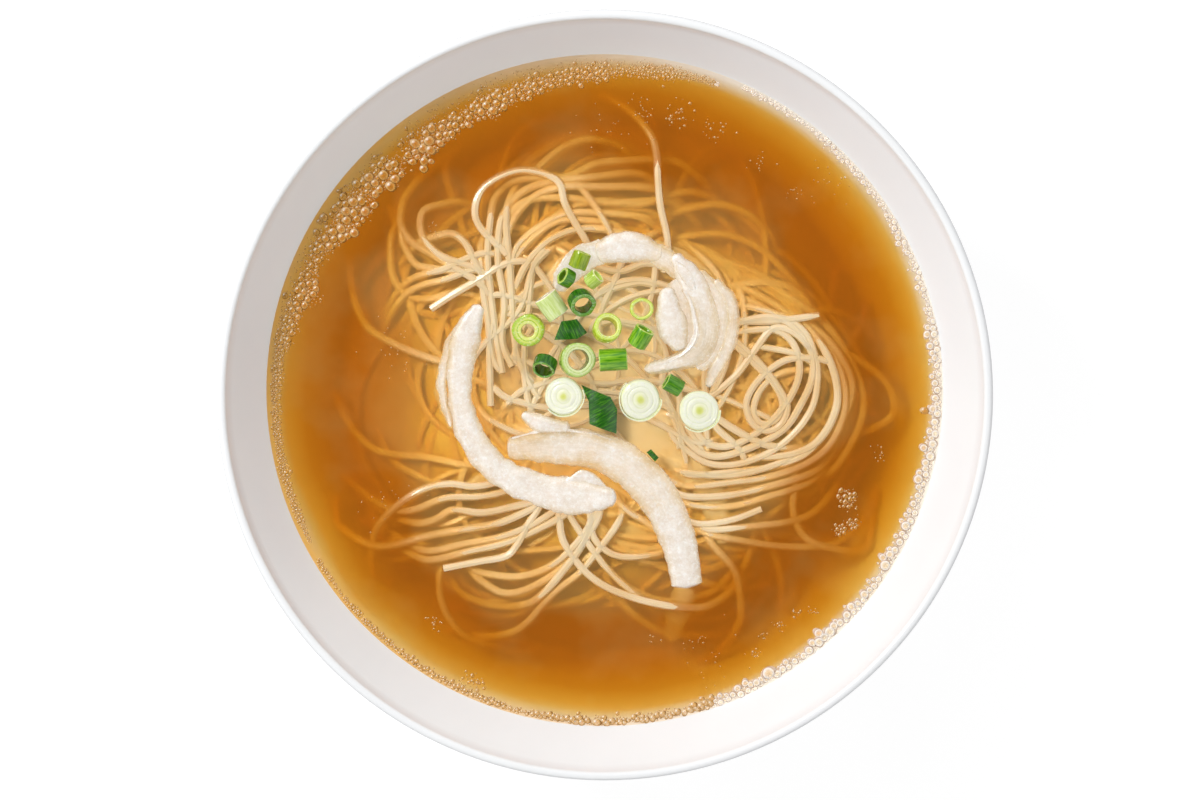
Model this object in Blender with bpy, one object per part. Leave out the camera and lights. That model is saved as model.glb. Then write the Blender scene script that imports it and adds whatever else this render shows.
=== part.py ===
"""Bowl of noodle soup, in a white porcelain bowl.

The bowl is 210 mm across. It stands on its foot ring, centred on the origin, with +Z up.
Sizes below are in millimetres. MM turns them into Blender's metres where a mesh is made.
"""

import math

import bmesh
import bpy
from mathutils import Euler, Vector

MM = 0.001
GAP = 0.35  # clear space between pieces that touch
NEST_CLEARANCE = 0.6  # the same, between the broth and the noodle heap

# Bowl
RIM_RADIUS = 105.0
BOWL_HEIGHT = 76.0
LIP_RADIUS = 1.3
WALL_AT_FOOT = 5.0
WALL_AT_RIM = 3.0
INNER_FLOOR = 12.0  # height of the inside's lowest point
INNER_BELLY = (62.0, 12.0)  # these two points pull the wall's curve out and up
INNER_SHOULDER = (80.6, 42.5)
FOOT_RADIUS = 38.0
FOOT_WIDTH = 4.0
FOOT_HOLLOW = 5.5  # height of the underside inside the foot ring
FLOOR_STEPS = (0.07, 0.14, 0.21)  # places along the inside's curve that the noodle heap lies on
WALL_STEPS = (0.34, 0.48, 0.62, 0.8, 1.0)
OUTER_STEPS = (0.9, 0.76, 0.62, 0.48, 0.36)
BOWL_SEGMENTS = 52

# Broth
SOUP_LEVEL = 60.5

# Noodle heap: how far it reaches from the centre, every 30 degrees from +X
NEST_REACH = (69.0, 63.0, 52.0, 62.0, 66.0, 68.0, 58.0, 68.0, 64.0, 64.0, 60.0, 60.0)
NEST_FLANK = ((0.4, 30.0), (0.85, 46.0), (1.0, 56.0))  # share of the reach at these heights
NEST_EDGE = 0.9  # height over the broth at the heap's edge
NEST_CROWN = 1.8  # height over the broth at its middle
NEST_SEGMENTS = 32
NOODLE_RADIUS = 1.15
NOODLE_REST = 0.35  # a noodle's axis lies this high over the heap, so that it is fused to it
NOODLE_LAYER = 0.15  # crossing bundles differ by this much in height
NOODLE_STEP = 7.0  # distance between a noodle's rings
NOODLE_FANNING = 0.25  # how much a bundle opens towards one of its ends

# Each bundle of noodles: the route of its middle, how many noodles it has and how far apart.
NOODLE_BUNDLES = {
    "right_inner_loop": (
        [(20.5, -3), (21, -10), (27, -16.5), (35, -18), (45, -14.5), (52.5, -6), (56, 3), (55, 12), (49, 19)],
        3,
        2.7,
    ),
    "right_outer_loop": (
        [(28, -25.3), (40, -24.6), (52, -21.5), (60, -14), (64, -4), (62, 8), (56, 18)],
        3,
        2.8,
    ),
    "right_sweep": ([(61, -17), (67, -8), (68, 2), (64, 13), (55, 22), (44, 29), (32, 34)], 1, 0.0),
    "teardrop": (
        [(34, 16.5), (41, 10), (48, 2), (50, -6), (45, -10.5), (40, -7), (39, -1), (44, 6), (53, 9.5)],
        1,
        0.0,
    ),
    "right_arch": ([(31, 2), (37, 8.5), (42, 16.5), (48, 19), (54, 13)], 1, 0.0),
    "right_cross": ([(34, 0), (40, -4), (47, -6)], 1, 0.0),
    "upper_right_arc": ([(22, 44), (32, 43), (42, 38), (50, 30)], 2, 4.0),
    "hook": ([(-26.5, 38), (-33, 46), (-34.5, 54), (-27, 60.5), (-17, 60), (-11, 52), (-5, 42)], 1, 0.0),
    "upper_arc": ([(-26, 30), (-26, 42), (-20, 51), (-10, 54.5), (0, 55), (12, 54)], 3, 3.4),
    "middle_arc": ([(-25, 27), (-20, 37), (-12, 44), (0, 48)], 1, 0.0),
    "top_upright": ([(16, 46), (14.5, 54), (14.5, 60)], 1, 0.0),
    "left_hook": ([(-54, 40), (-48, 38), (-39, 33), (-33, 31)], 3, 3.8),
    "left_stub": ([(-48, 23), (-40, 28.5), (-33, 32.5)], 1, 0.0),
    "uprights": ([(-31, 44), (-31.5, 32), (-29.5, 22), (-27, 12), (-25.5, 6)], 3, 2.8),
    "short_upright": ([(-31.5, 9), (-31.5, -3)], 1, 0.0),
    "left_curl": ([(-19.5, 11), (-22, 6.5), (-20.5, 2.0), (-17.5, -2.0)], 1, 0.0),
    "bent_noodle": ([(-16, -34), (-20, -38), (-25, -44.5), (-36, -47.3), (-45, -49)], 1, 0.0),
    "fan_upper": ([(-57, -30), (-48, -27), (-39, -26)], 2, 2.8),
    "fan_middle": ([(-58, -39), (-46, -38.5), (-34, -37), (-22, -34)], 3, 2.8),
    "fan_bottom": ([(-36, -52.5), (-28, -55.5), (-19, -54.5), (-10, -48), (-3, -40)], 2, 3.2),
    "diagonal": ([(-18, -61), (-12, -54.5), (-3, -45.5), (5, -37)], 1, 0.0),
    "bottom_sweep": ([(-13, -35), (-11.5, -41), (-6, -49), (3, -54.5), (13, -57)], 1, 0.0),
    "low_right_fan": ([(32, -34), (42, -32.5), (50, -32)], 3, 3.6),
    "low_right_hook": ([(38, -46), (45, -42), (50, -35)], 1, 0.0),
}

# Onion strips: route with the height over the heap at each point, and the width along it.
STRIP_THICKNESS = 3.0
STRIP_SIDES = 10
STRIP_STEP = 4.5
ONION_STRIPS = {
    "onion_strip_left": (
        [
            (-34.6, 24, 0),
            (-38, 16, 0),
            (-39.6, 6, 0),
            (-39.2, -4, 0),
            (-35.5, -13.5, 0),
            (-28, -21.5, 0),
            (-18, -26, 0),
            (-8, -28, 1.6),
            (2, -28, 3.2),
        ],
        [5.0, 8.4, 6.8, 7.0, 7.8, 8.4, 9.0, 10.2, 6.0],
    ),
    "onion_strip_bottom": (
        [
            (-25, -14.5, 0),
            (-14, -14.5, 0),
            (-3, -15, 0),
            (7, -20, 0),
            (14.5, -28, 0),
            (19, -37, 0),
            (21.5, -45, 0),
            (22.5, -52, 0),
        ],
        [7.0, 9.5, 10.5, 11.0, 11.0, 10.0, 9.5, 8.0],
    ),
    "onion_strip_top": (
        [(-1.6, 39.2, 0), (3, 40.4, 0), (9, 40.6, 0), (14.6, 38.8, 0)],
        [6.0, 8.2, 8.2, 5.0],
    ),
    "onion_strip_right": (
        [
            (19.4, 38, 0),
            (23, 32.5, 0),
            (26.4, 26, 0),
            (28.0, 19, 0),
            (26.2, 12.6, 0),
            (20, 9.2, 0),
            (12, 7.4, 0),
        ],
        [4.0, 6.8, 7.0, 7.0, 6.8, 5.0, 4.0],
    ),
    "onion_strip_edge": (
        [(30.7, 31, 0), (34.2, 26, 0), (35.2, 20, 0), (33.6, 13, 0), (30.4, 7.4, 0), (28.6, 3.2, 0)],
        [3.0, 3.8, 4.0, 4.0, 4.0, 3.5],
    ),
    "onion_chunk": (
        [(17.2, 28, 0), (17.6, 23, 0), (18.8, 18, 0), (20.2, 14, 0)],
        [5.0, 8.0, 8.0, 5.0],
    ),
    "onion_lump": (
        [(-21.5, -6, 0), (-17, -8.3, 0), (-11, -8.8, 0)],
        [3.5, 4.2, 3.0],
    ),
}

# Spring onion rings: place, height over the heap, outer and inner radius, length, and how far they
# lean and which way they point, in degrees.
RING_SEGMENTS = 16
SPRING_ONION_RINGS = {
    "spring_onion_01": dict(at=(-6.8, 37.4), lift=0.9, outer=2.6, inner=1.9, length=4.6, lean=90, turn=-110),
    "spring_onion_02": dict(at=(-10.4, 32.6), lift=0.2, outer=2.6, inner=1.6, length=3.0, lean=66, turn=150),
    "spring_onion_03": dict(at=(-3.1, 32.1), lift=0.3, outer=2.3, inner=1.5, length=3.6, lean=75, turn=40),
    "spring_onion_04": dict(at=(-6.3, 25.9), lift=0.4, outer=3.7, inner=2.4, length=3.2, lean=34, turn=-60),
    "spring_onion_05": dict(at=(-14.4, 25.0), lift=0.1, outer=3.4, inner=1.0, length=6.6, lean=88, turn=125),
    "spring_onion_06": dict(at=(-20.8, 18.2), lift=0.0, outer=4.4, inner=1.8, length=3.4, lean=6, turn=200),
    "spring_onion_08": dict(at=(-7.6, 10.2), lift=0.5, outer=4.8, inner=2.8, length=3.2, lean=17, turn=20),
    "spring_onion_09": dict(at=(-16.4, 8.6), lift=0.2, outer=3.3, inner=2.4, length=3.4, lean=48, turn=250),
    "spring_onion_10": dict(at=(0.6, 18.8), lift=0.2, outer=3.9, inner=2.6, length=3.4, lean=24, turn=60),
    "spring_onion_11": dict(at=(2.3, 10.2), lift=0.1, outer=3.2, inner=2.4, length=7.6, lean=90, turn=4),
    "spring_onion_12": dict(at=(10.0, 24.0), lift=0.0, outer=3.1, inner=2.2, length=2.8, lean=5, turn=0),
    "spring_onion_13": dict(at=(9.8, 16.4), lift=0.1, outer=2.9, inner=2.0, length=5.2, lean=80, turn=60),
    "spring_onion_17": dict(at=(18.8, 3.1), lift=0.1, outer=2.5, inner=1.7, length=4.8, lean=85, turn=150),
}
# White rounds are closed rings of the stem: place, radius, length and dome.
ROUND_SEGMENTS = 18
WHITE_ROUNDS = {
    "spring_onion_14": dict(at=(-11.2, 0.1), lift=0.0, radius=5.1, length=3.6, lean=5, turn=160),
    "spring_onion_16": dict(at=(9.7, -0.7), lift=0.0, radius=5.4, length=3.8, lean=4, turn=-60),
    "spring_onion_18": dict(at=(25.7, -3.8), lift=0.0, radius=5.4, length=3.8, lean=6, turn=30),
}
# Leaf pieces: corners of the cut leaf round its middle, thickness and how much it bows.
LEAF_PIECES = {
    "spring_onion_07": dict(
        at=(-9.4, 18.0),
        lift=0.3,
        corners=[(-4.4, -2.6), (-2.4, 2.6), (1.8, 3.2), (4.6, -0.6), (2.0, -2.2)],
        thickness=1.2,
        bow=1.1,
    ),
    "spring_onion_15": dict(
        at=(-1.2, -3.0),
        lift=0.3,
        corners=[(-5.2, 6.0), (2.8, 2.8), (4.6, -0.6), (4.4, -7.4), (-3.0, -4.6), (-3.2, 1.6)],
        thickness=1.2,
        bow=1.2,
    ),
}
LEAF_CUTS = 2

# Colours are linear RGB, then roughness.
PORCELAIN = ((0.86, 0.85, 0.83), 0.12)
BROTH = ((0.50, 0.18, 0.02), 0.05)
NOODLE = ((0.80, 0.58, 0.30), 0.35)
ONION = ((0.82, 0.78, 0.72), 0.30)
GREEN = ((0.10, 0.28, 0.02), 0.30)
PALE_GREEN = ((0.55, 0.65, 0.22), 0.30)
STEM_WHITE = ((0.80, 0.82, 0.62), 0.30)


def clear_scene():
    for obj in list(bpy.data.objects):
        bpy.data.objects.remove(obj)


def material(name, look):
    colour, roughness = look
    made = bpy.data.materials.get(name) or bpy.data.materials.new(name)
    made.use_nodes = True
    shader = made.node_tree.nodes["Principled BSDF"]
    shader.inputs["Base Color"].default_value = (*colour, 1)
    shader.inputs["Roughness"].default_value = roughness
    shader.inputs["Metallic"].default_value = 0
    return made


def add_object(name, bm, look, collection=None):
    """Closes a bmesh in millimetres into a named object in metres."""
    bmesh.ops.remove_doubles(bm, verts=bm.verts, dist=1e-4)
    bmesh.ops.recalc_face_normals(bm, faces=bm.faces)
    bmesh.ops.scale(bm, vec=Vector((MM, MM, MM)), verts=bm.verts)
    mesh = bpy.data.meshes.new(name)
    bm.to_mesh(mesh)
    bm.free()
    mesh.shade_smooth()
    mesh.set_sharp_from_angle(angle=math.radians(40))
    obj = bpy.data.objects.new(name, mesh)
    if look is not None:
        mesh.materials.append(material(name, look))
    (collection or bpy.context.scene.collection).objects.link(obj)
    return obj


def bezier(p0, p1, p2, p3, t):
    u = 1 - t
    weights = (u**3, 3 * u * u * t, 3 * u * t * t, t**3)
    return tuple(sum(w * p[i] for w, p in zip(weights, (p0, p1, p2, p3))) for i in range(2))


def inner_wall(t, inset=0.0):
    """A point (radius, height) of the inside, from t = 0 at its floor to 1 at the rim, moved in by inset."""
    lip_foot = (RIM_RADIUS - 2 * LIP_RADIUS, BOWL_HEIGHT - LIP_RADIUS)
    ends = ((0.0, INNER_FLOOR), INNER_BELLY, INNER_SHOULDER, lip_foot)
    r, z = bezier(*ends, t)
    r2, z2 = bezier(*ends, min(t + 1e-3, 1.0))
    r1, z1 = bezier(*ends, max(t - 1e-3, 0.0))
    length = math.hypot(r2 - r1, z2 - z1)
    normal = (-(z2 - z1) / length, (r2 - r1) / length)
    return max(r + inset * normal[0], 0.0), z + inset * normal[1]


def wall_t(height):
    """The t at which the inner wall has this height."""
    low, high = 0.0, 1.0
    for _ in range(40):
        middle = (low + high) / 2
        low, high = (middle, high) if inner_wall(middle)[1] < height else (low, middle)
    return low


def lathe(profile, segments):
    """A solid of revolution of a profile that runs from the axis back to the axis."""
    bm = bmesh.new()
    verts = [bm.verts.new((r, 0, z)) for r, z in profile]
    edges = [bm.edges.new(pair) for pair in zip(verts, verts[1:])]
    whole = dict(cent=(0, 0, 0), axis=(0, 0, 1), angle=math.tau, use_merge=True)
    bmesh.ops.spin(bm, geom=verts + edges, steps=segments, **whole)
    return bm


def make_bowl():
    inner = [inner_wall(t) for t in (0.0, *FLOOR_STEPS, *WALL_STEPS)]
    lip_centre = (RIM_RADIUS - LIP_RADIUS, BOWL_HEIGHT - LIP_RADIUS)
    lip = [
        (lip_centre[0] + LIP_RADIUS * math.cos(a), lip_centre[1] + LIP_RADIUS * math.sin(a))
        for a in (math.radians(d) for d in (120, 60, 0))
    ]
    outer = []
    for t in OUTER_STEPS:
        thickness = WALL_AT_FOOT + (WALL_AT_RIM - WALL_AT_FOOT) * t
        outer.append(inner_wall(t, -thickness))
    foot_inside = FOOT_RADIUS - FOOT_WIDTH
    foot = [
        (FOOT_RADIUS + 1.6, 7.6),
        (FOOT_RADIUS + 0.4, 5.0),
        (FOOT_RADIUS, 0.8),
        (FOOT_RADIUS - 0.8, 0.0),
        (foot_inside + 0.8, 0.0),
        (foot_inside, 0.8),
        (foot_inside - 1.0, FOOT_HOLLOW),
        (0.0, FOOT_HOLLOW),
    ]
    return add_object("bowl", lathe(inner + lip + outer + foot, BOWL_SEGMENTS), PORCELAIN)


def nest_reach(angle):
    """How far the heap reaches at this angle, smooth between the named reaches."""
    place = (math.degrees(angle) % 360) / (360 / len(NEST_REACH))
    index = int(place)
    share = (1 - math.cos(math.pi * (place - index))) / 2
    here, there = (NEST_REACH[(index + k) % len(NEST_REACH)] for k in (0, 1))
    return here + (there - here) * share


def nest_top(x, y):
    """Height of the bare heap's top at a place."""
    share = min(math.hypot(x, y) / nest_reach(math.atan2(y, x)), 1.0)
    return SOUP_LEVEL + NEST_EDGE + (NEST_CROWN - NEST_EDGE) * (1 - share**2)


def nest_mesh(grow=0.0):
    """The bare heap, or a cutter that is larger by grow and passes through the broth above and below."""
    bm = bmesh.new()
    rings = []
    floor = [inner_wall(t, GAP - 2 * grow) for t in FLOOR_STEPS]
    angles = [math.tau * k / NEST_SEGMENTS for k in range(NEST_SEGMENTS)]
    for r, z in floor:
        rings.append([((r + grow) * math.cos(a), (r + grow) * math.sin(a), z) for a in angles])
    for share, z in NEST_FLANK:
        rings.append([])
        for a in angles:
            r = floor[-1][0] + (nest_reach(a) - floor[-1][0]) * share + grow
            rings[-1].append((r * math.cos(a), r * math.sin(a), z))
    for share in (1.0, 0.8, 0.55, 0.3) if not grow else (1.0,):
        rings.append([])
        for a in angles:
            r = nest_reach(a) * share
            height = nest_top(r * math.cos(a), r * math.sin(a)) + 10 * grow
            rings[-1].append(((r + grow) * math.cos(a), (r + grow) * math.sin(a), height))
    loops = [[bm.verts.new(point) for point in ring] for ring in rings]
    for lower, upper in zip(loops, loops[1:]):
        for k in range(NEST_SEGMENTS):
            nxt = (k + 1) % NEST_SEGMENTS
            bm.faces.new((lower[k], lower[nxt], upper[nxt], upper[k]))
    for loop, z in ((loops[0], rings[0][0][2]), (loops[-1], nest_top(0, 0) + 10 * grow)):
        pole = bm.verts.new((0, 0, z))
        for k in range(NEST_SEGMENTS):
            bm.faces.new((loop[k], loop[(k + 1) % NEST_SEGMENTS], pole))
    return bm


def make_broth():
    top = wall_t(SOUP_LEVEL)
    wall = [inner_wall(t, GAP) for t in (0.0, *FLOOR_STEPS, *WALL_STEPS) if t < top]
    edge = (inner_wall(top, GAP)[0], SOUP_LEVEL)
    broth = add_object("broth", lathe(wall + [edge, (0.0, SOUP_LEVEL)], BOWL_SEGMENTS), BROTH)
    cutter = add_object("nest_cutter", nest_mesh(grow=NEST_CLEARANCE), None)
    apply_boolean(broth, "DIFFERENCE", cutter)
    return broth


def apply_boolean(target, operation, operand):
    """Applies a Boolean of one object, or of all objects in a collection, and removes them."""
    modifier = target.modifiers.new("Join", "BOOLEAN")
    modifier.operation = operation
    modifier.solver = "EXACT"
    if isinstance(operand, bpy.types.Collection):
        modifier.operand_type = "COLLECTION"
        modifier.collection = operand
        used = list(operand.objects)
    else:
        modifier.object = operand
        used = [operand]
    bpy.context.view_layer.update()
    graph = bpy.context.evaluated_depsgraph_get()
    mesh = bpy.data.meshes.new_from_object(target.evaluated_get(graph))
    target.modifiers.remove(modifier)
    target.data = mesh
    for obj in used:
        bpy.data.objects.remove(obj)


def keep_outer_shell(obj):
    """Fills the hollows that a union sealed, and drops loose scraps, by keeping the largest shell."""
    bm = bmesh.new()
    bm.from_mesh(obj.data)
    left = set(bm.verts)
    shells = []
    while left:
        front = [left.pop()]
        shell = list(front)
        while front:
            for edge in front.pop().link_edges:
                for vert in edge.verts:
                    if vert in left:
                        left.remove(vert)
                        shell.append(vert)
                        front.append(vert)
        shells.append(shell)
    largest = max(shells, key=len)
    bmesh.ops.delete(bm, geom=[v for shell in shells if shell is not largest for v in shell], context="VERTS")
    bm.to_mesh(obj.data)
    bm.free()


def through(points, count):
    """Points evenly spread on a smooth curve through the given ones (Catmull-Rom)."""
    padded = [points[0] * 2 - points[1], *points, points[-1] * 2 - points[-2]]
    fine = []
    for a, b, c, d in zip(padded, padded[1:], padded[2:], padded[3:]):
        for k in range(12):
            t = k / 12
            bend = (a * 2 - b * 5 + c * 4 - d) * t**2 + (b * 3 - a - c * 3 + d) * t**3
            fine.append((b * 2 + (c - a) * t + bend) / 2)
    fine.append(points[-1])
    reach = [0.0]
    for a, b in zip(fine, fine[1:]):
        reach.append(reach[-1] + (b - a).length)
    even, index = [], 0
    for k in range(count):
        wanted = reach[-1] * k / (count - 1)
        while index < len(reach) - 2 and reach[index + 1] < wanted:
            index += 1
        share = (wanted - reach[index]) / max(reach[index + 1] - reach[index], 1e-9)
        even.append(fine[index].lerp(fine[index + 1], share))
    return even


def route_length(points):
    return sum((b - a).length for a, b in zip(points, points[1:]))


def under_topping(point):
    """True where a topping lies, so that a noodle stops short of it."""
    clear = NOODLE_RADIUS + GAP
    for route, widths in ONION_STRIPS.values():
        middle = [Vector(p[:2]) for p in route]
        for (a, wa), (b, wb) in zip(zip(middle, widths), zip(middle[1:], widths[1:])):
            share = max(0.0, min(1.0, (point - a).dot(b - a) / (b - a).length_squared))
            if (point - a.lerp(b, share)).length < (wa + (wb - wa) * share) / 2 + clear + 0.8:
                return True
    for size in SPRING_ONION_RINGS.values():
        if (point - Vector(size["at"])).length < math.hypot(size["outer"], size["length"] / 2) + clear:
            return True
    for size in WHITE_ROUNDS.values():
        if (point - Vector(size["at"])).length < size["radius"] + clear + 0.4:
            return True
    for size in LEAF_PIECES.values():
        if (point - Vector(size["at"])).length < max(math.hypot(*c) for c in size["corners"]) + clear:
            return True
    return False


def noodle_routes():
    """The middle line of each noodle of each bundle, broken where a topping lies on the heap."""
    for number, (route, count, pitch) in enumerate(NOODLE_BUNDLES.values()):
        middle = [Vector(p) for p in route]
        for k in range(count):
            line = []
            for i, point in enumerate(middle):
                opening = 1 + NOODLE_FANNING * (2 * i / (len(middle) - 1) - 1) * (-1) ** number
                side = (k - (count - 1) / 2) * pitch * opening
                ahead = middle[min(i + 1, len(middle) - 1)] - middle[max(i - 1, 0)]
                line.append(point + Vector((-ahead.y, ahead.x)).normalized() * side)
            steps = max(3, round(route_length(line) / NOODLE_STEP) + 1)
            run = []
            for point in through(line, steps):
                if under_topping(point):
                    if len(run) > 1:
                        yield number, run
                    run = []
                    continue
                run.append(point)
            if len(run) > 1:
                yield number, run


def noodle_tube(name, run, layer, collection):
    """One noodle as a six-sided tube with closed ends, lying on the heap."""
    curve = bpy.data.curves.new(name, "CURVE")
    curve.dimensions = "3D"
    curve.bevel_depth = NOODLE_RADIUS * MM
    curve.bevel_resolution = 1
    curve.use_fill_caps = True
    spline = curve.splines.new("POLY")
    spline.points.add(len(run) - 1)
    for place, point in zip(spline.points, run):
        height = nest_top(point.x, point.y) + NOODLE_REST + layer
        place.co = (point.x * MM, point.y * MM, height * MM, 1)
    holder = bpy.data.objects.new(name + "_curve", curve)
    bpy.context.scene.collection.objects.link(holder)
    bpy.context.view_layer.update()
    graph = bpy.context.evaluated_depsgraph_get()
    mesh = bpy.data.meshes.new_from_object(holder.evaluated_get(graph))
    bpy.data.objects.remove(holder)
    bm = bmesh.new()
    bm.from_mesh(mesh)
    bmesh.ops.remove_doubles(bm, verts=bm.verts, dist=1e-7)
    bmesh.ops.recalc_face_normals(bm, faces=bm.faces)
    bm.to_mesh(mesh)
    bm.free()
    obj = bpy.data.objects.new(name, mesh)
    collection.objects.link(obj)


def make_noodles():
    nest = add_object("noodles", nest_mesh(), NOODLE)
    strands = bpy.data.collections.new("strands")
    bpy.context.scene.collection.children.link(strands)
    for index, (number, run) in enumerate(noodle_routes()):
        noodle_tube(f"strand_{index}", run, NOODLE_LAYER * (number % 4), strands)
    apply_boolean(nest, "UNION", strands)
    bpy.data.collections.remove(strands)
    keep_outer_shell(nest)
    return nest


def strip_ring(width, thickness):
    """The rounded outline of a strip cut across, flat below and softly crowned above."""
    ring = []
    for k in range(STRIP_SIDES):
        a = math.tau * (k + 0.5) / STRIP_SIDES
        x = math.copysign(abs(math.cos(a)) ** 0.7, math.cos(a)) * width / 2
        z = math.copysign(abs(math.sin(a)) ** 0.8, math.sin(a)) * thickness / 2
        ring.append((x, z + thickness / 2))
    return ring


def make_strip(name, route, widths):
    """A curved strip of onion, lying on the heap."""
    middle = [Vector(p) for p in route]
    count = max(4, round(route_length(middle) / STRIP_STEP) + 1)
    line = through(middle, count)
    sizes = through([Vector((w, 0, 0)) for w in widths], count)
    bm = bmesh.new()
    loops = []
    for i, point in enumerate(line):
        ahead = line[min(i + 1, count - 1)] - line[max(i - 1, 0)]
        side = Vector((-ahead.y, ahead.x, 0)).normalized()
        end_share = min(i, count - 1 - i)
        narrow = 0.62 if end_share == 0 else 1.0
        width = max(sizes[i].x, 2.0) * narrow
        half = width / 2
        base = max(nest_top(point.x + side.x * s, point.y + side.y * s) for s in (-half, 0.0, half))
        base += GAP + point.z
        ring = strip_ring(width, STRIP_THICKNESS * (0.7 if end_share == 0 else 1.0))
        loops.append(
            [bm.verts.new((point.x + side.x * x, point.y + side.y * x, base + z)) for x, z in ring]
        )
    for a, b in zip(loops, loops[1:]):
        for k in range(STRIP_SIDES):
            nxt = (k + 1) % STRIP_SIDES
            bm.faces.new((a[k], a[nxt], b[nxt], b[k]))
    bm.faces.new(loops[0])
    bm.faces.new(loops[-1])
    bmesh.ops.triangulate(bm, faces=bm.faces)
    return add_object(name, bm, ONION)


def rest_on_heap(obj, size, reach):
    """Turns a topping and sets it down with its lowest point just over the heap."""
    obj.rotation_euler = Euler((0, math.radians(size["lean"]), math.radians(size["turn"])))
    turned = obj.rotation_euler.to_matrix()
    lowest = min((turned @ v.co).z for v in obj.data.vertices)
    x, y = size["at"]
    under = max(nest_top(x + dx, y + dy) for dx in (-reach, 0, reach) for dy in (-reach, 0, reach))
    obj.location = (x * MM, y * MM, (under + GAP + size["lift"]) * MM - lowest)


def make_ring(name, size):
    """A cut ring of spring onion leaf or stem, open through its middle."""
    half, bevel = size["length"] / 2, 0.25
    outer, inner = size["outer"], size["inner"]
    profile = [
        (inner, -half),
        (inner, half),
        (outer - bevel, half),
        (outer, half - bevel),
        (outer, -half + bevel),
        (outer - bevel, -half),
    ]
    bm = bmesh.new()
    verts = [bm.verts.new((r, 0, z)) for r, z in profile]
    edges = [bm.edges.new((a, b)) for a, b in zip(verts, verts[1:] + verts[:1])]
    bmesh.ops.spin(
        bm,
        geom=verts + edges,
        cent=(0, 0, 0),
        axis=(0, 0, 1),
        angle=math.tau,
        steps=RING_SEGMENTS,
        use_merge=True,
    )
    look = PALE_GREEN if outer - inner > 1.5 else GREEN
    ring = add_object(name, bm, look)
    rest_on_heap(ring, size, outer * 0.7)
    return ring


def make_round(name, size):
    """A closed round of the white stem: its layers stand as two low steps round a domed heart."""
    r, half = size["radius"], size["length"] / 2
    profile = [
        (0.0, -half),
        (r - 0.4, -half),
        (r, -half + 0.6),
        (r, half - 0.7),
        (r - 0.6, half),
        (r * 0.66, half),
        (r * 0.6, half - 0.35),
        (r * 0.4, half + 0.1),
        (0.0, half + 0.25),
    ]
    solid = add_object(name, lathe(profile, ROUND_SEGMENTS), STEM_WHITE)
    rest_on_heap(solid, size, r * 0.7)
    return solid


def make_leaf(name, size):
    """A cut piece of leaf: a thin bowed plate, both faces in like triangles."""
    bm = bmesh.new()
    face = bm.faces.new([bm.verts.new((x, y, 0)) for x, y in size["corners"]])
    if face.normal.z < 0:
        face.normal_flip()
    bmesh.ops.triangulate(bm, faces=bm.faces)
    bmesh.ops.subdivide_edges(bm, edges=bm.edges, cuts=LEAF_CUTS, use_grid_fill=True)
    bmesh.ops.triangulate(bm, faces=bm.faces)
    for vert in bm.verts:
        vert.co.z = size["bow"] * (1 - (vert.co.x / 4.5) ** 2) + 0.2 * math.sin(vert.co.y)
    bmesh.ops.solidify(bm, geom=bm.faces, thickness=size["thickness"])
    leaf = add_object(name, bm, GREEN)
    rest_on_heap(leaf, dict(size, lean=0, turn=0), 4.0)
    return leaf


def main():
    clear_scene()
    make_bowl()
    make_broth()
    make_noodles()
    for name, (route, widths) in ONION_STRIPS.items():
        make_strip(name, route, widths)
    for name, size in SPRING_ONION_RINGS.items():
        make_ring(name, size)
    for name, size in WHITE_ROUNDS.items():
        make_round(name, size)
    for name, size in LEAF_PIECES.items():
        make_leaf(name, size)


main()
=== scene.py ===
import bpy
import bmesh
import math
import random
import numpy as np
from mathutils import Euler, Matrix, Vector, noise


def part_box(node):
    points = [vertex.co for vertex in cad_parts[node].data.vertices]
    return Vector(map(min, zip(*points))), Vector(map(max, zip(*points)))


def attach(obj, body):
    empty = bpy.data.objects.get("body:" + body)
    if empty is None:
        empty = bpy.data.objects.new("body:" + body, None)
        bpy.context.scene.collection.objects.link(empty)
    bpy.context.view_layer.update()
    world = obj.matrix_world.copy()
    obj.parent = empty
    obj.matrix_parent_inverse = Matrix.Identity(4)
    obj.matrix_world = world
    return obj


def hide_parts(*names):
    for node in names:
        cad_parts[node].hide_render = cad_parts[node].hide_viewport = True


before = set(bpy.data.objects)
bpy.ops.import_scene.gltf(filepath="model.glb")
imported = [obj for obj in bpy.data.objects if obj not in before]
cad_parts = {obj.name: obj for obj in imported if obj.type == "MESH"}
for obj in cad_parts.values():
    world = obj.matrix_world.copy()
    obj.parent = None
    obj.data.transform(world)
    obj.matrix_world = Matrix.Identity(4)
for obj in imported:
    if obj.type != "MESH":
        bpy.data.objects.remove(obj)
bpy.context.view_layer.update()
print("frame loaded:", len(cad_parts), "solids")

# Shapes are worked out in millimetres and scaled to metres as they are put in the scene.
mm = 0.001
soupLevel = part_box("broth")[1].z / mm
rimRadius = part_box("bowl")[1].x / mm
turn = math.tau


def finishMesh(name, bm, material, sharpAngle=40.0, replaced=(), recalc=True):
    # closes a bmesh in millimetres into an object in metres that rides with the soup
    bmesh.ops.remove_doubles(bm, verts=bm.verts, dist=1e-4)
    if recalc:
        bmesh.ops.recalc_face_normals(bm, faces=bm.faces)
    bmesh.ops.scale(bm, vec=(mm, mm, mm), verts=bm.verts)
    mesh = bpy.data.meshes.new(name)
    bm.to_mesh(mesh)
    bm.free()
    return finishObject(name, mesh, material, sharpAngle, replaced)


def finishObject(name, mesh, material, sharpAngle=40.0, replaced=()):
    mesh.shade_smooth()
    mesh.set_sharp_from_angle(angle=math.radians(sharpAngle))
    mesh.materials.clear()
    mesh.materials.append(material)
    piece = bpy.data.objects.new(name, mesh)
    bpy.context.scene.collection.objects.link(piece)
    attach(piece, "root")
    if replaced:
        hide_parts(*replaced)
    return piece


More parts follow.
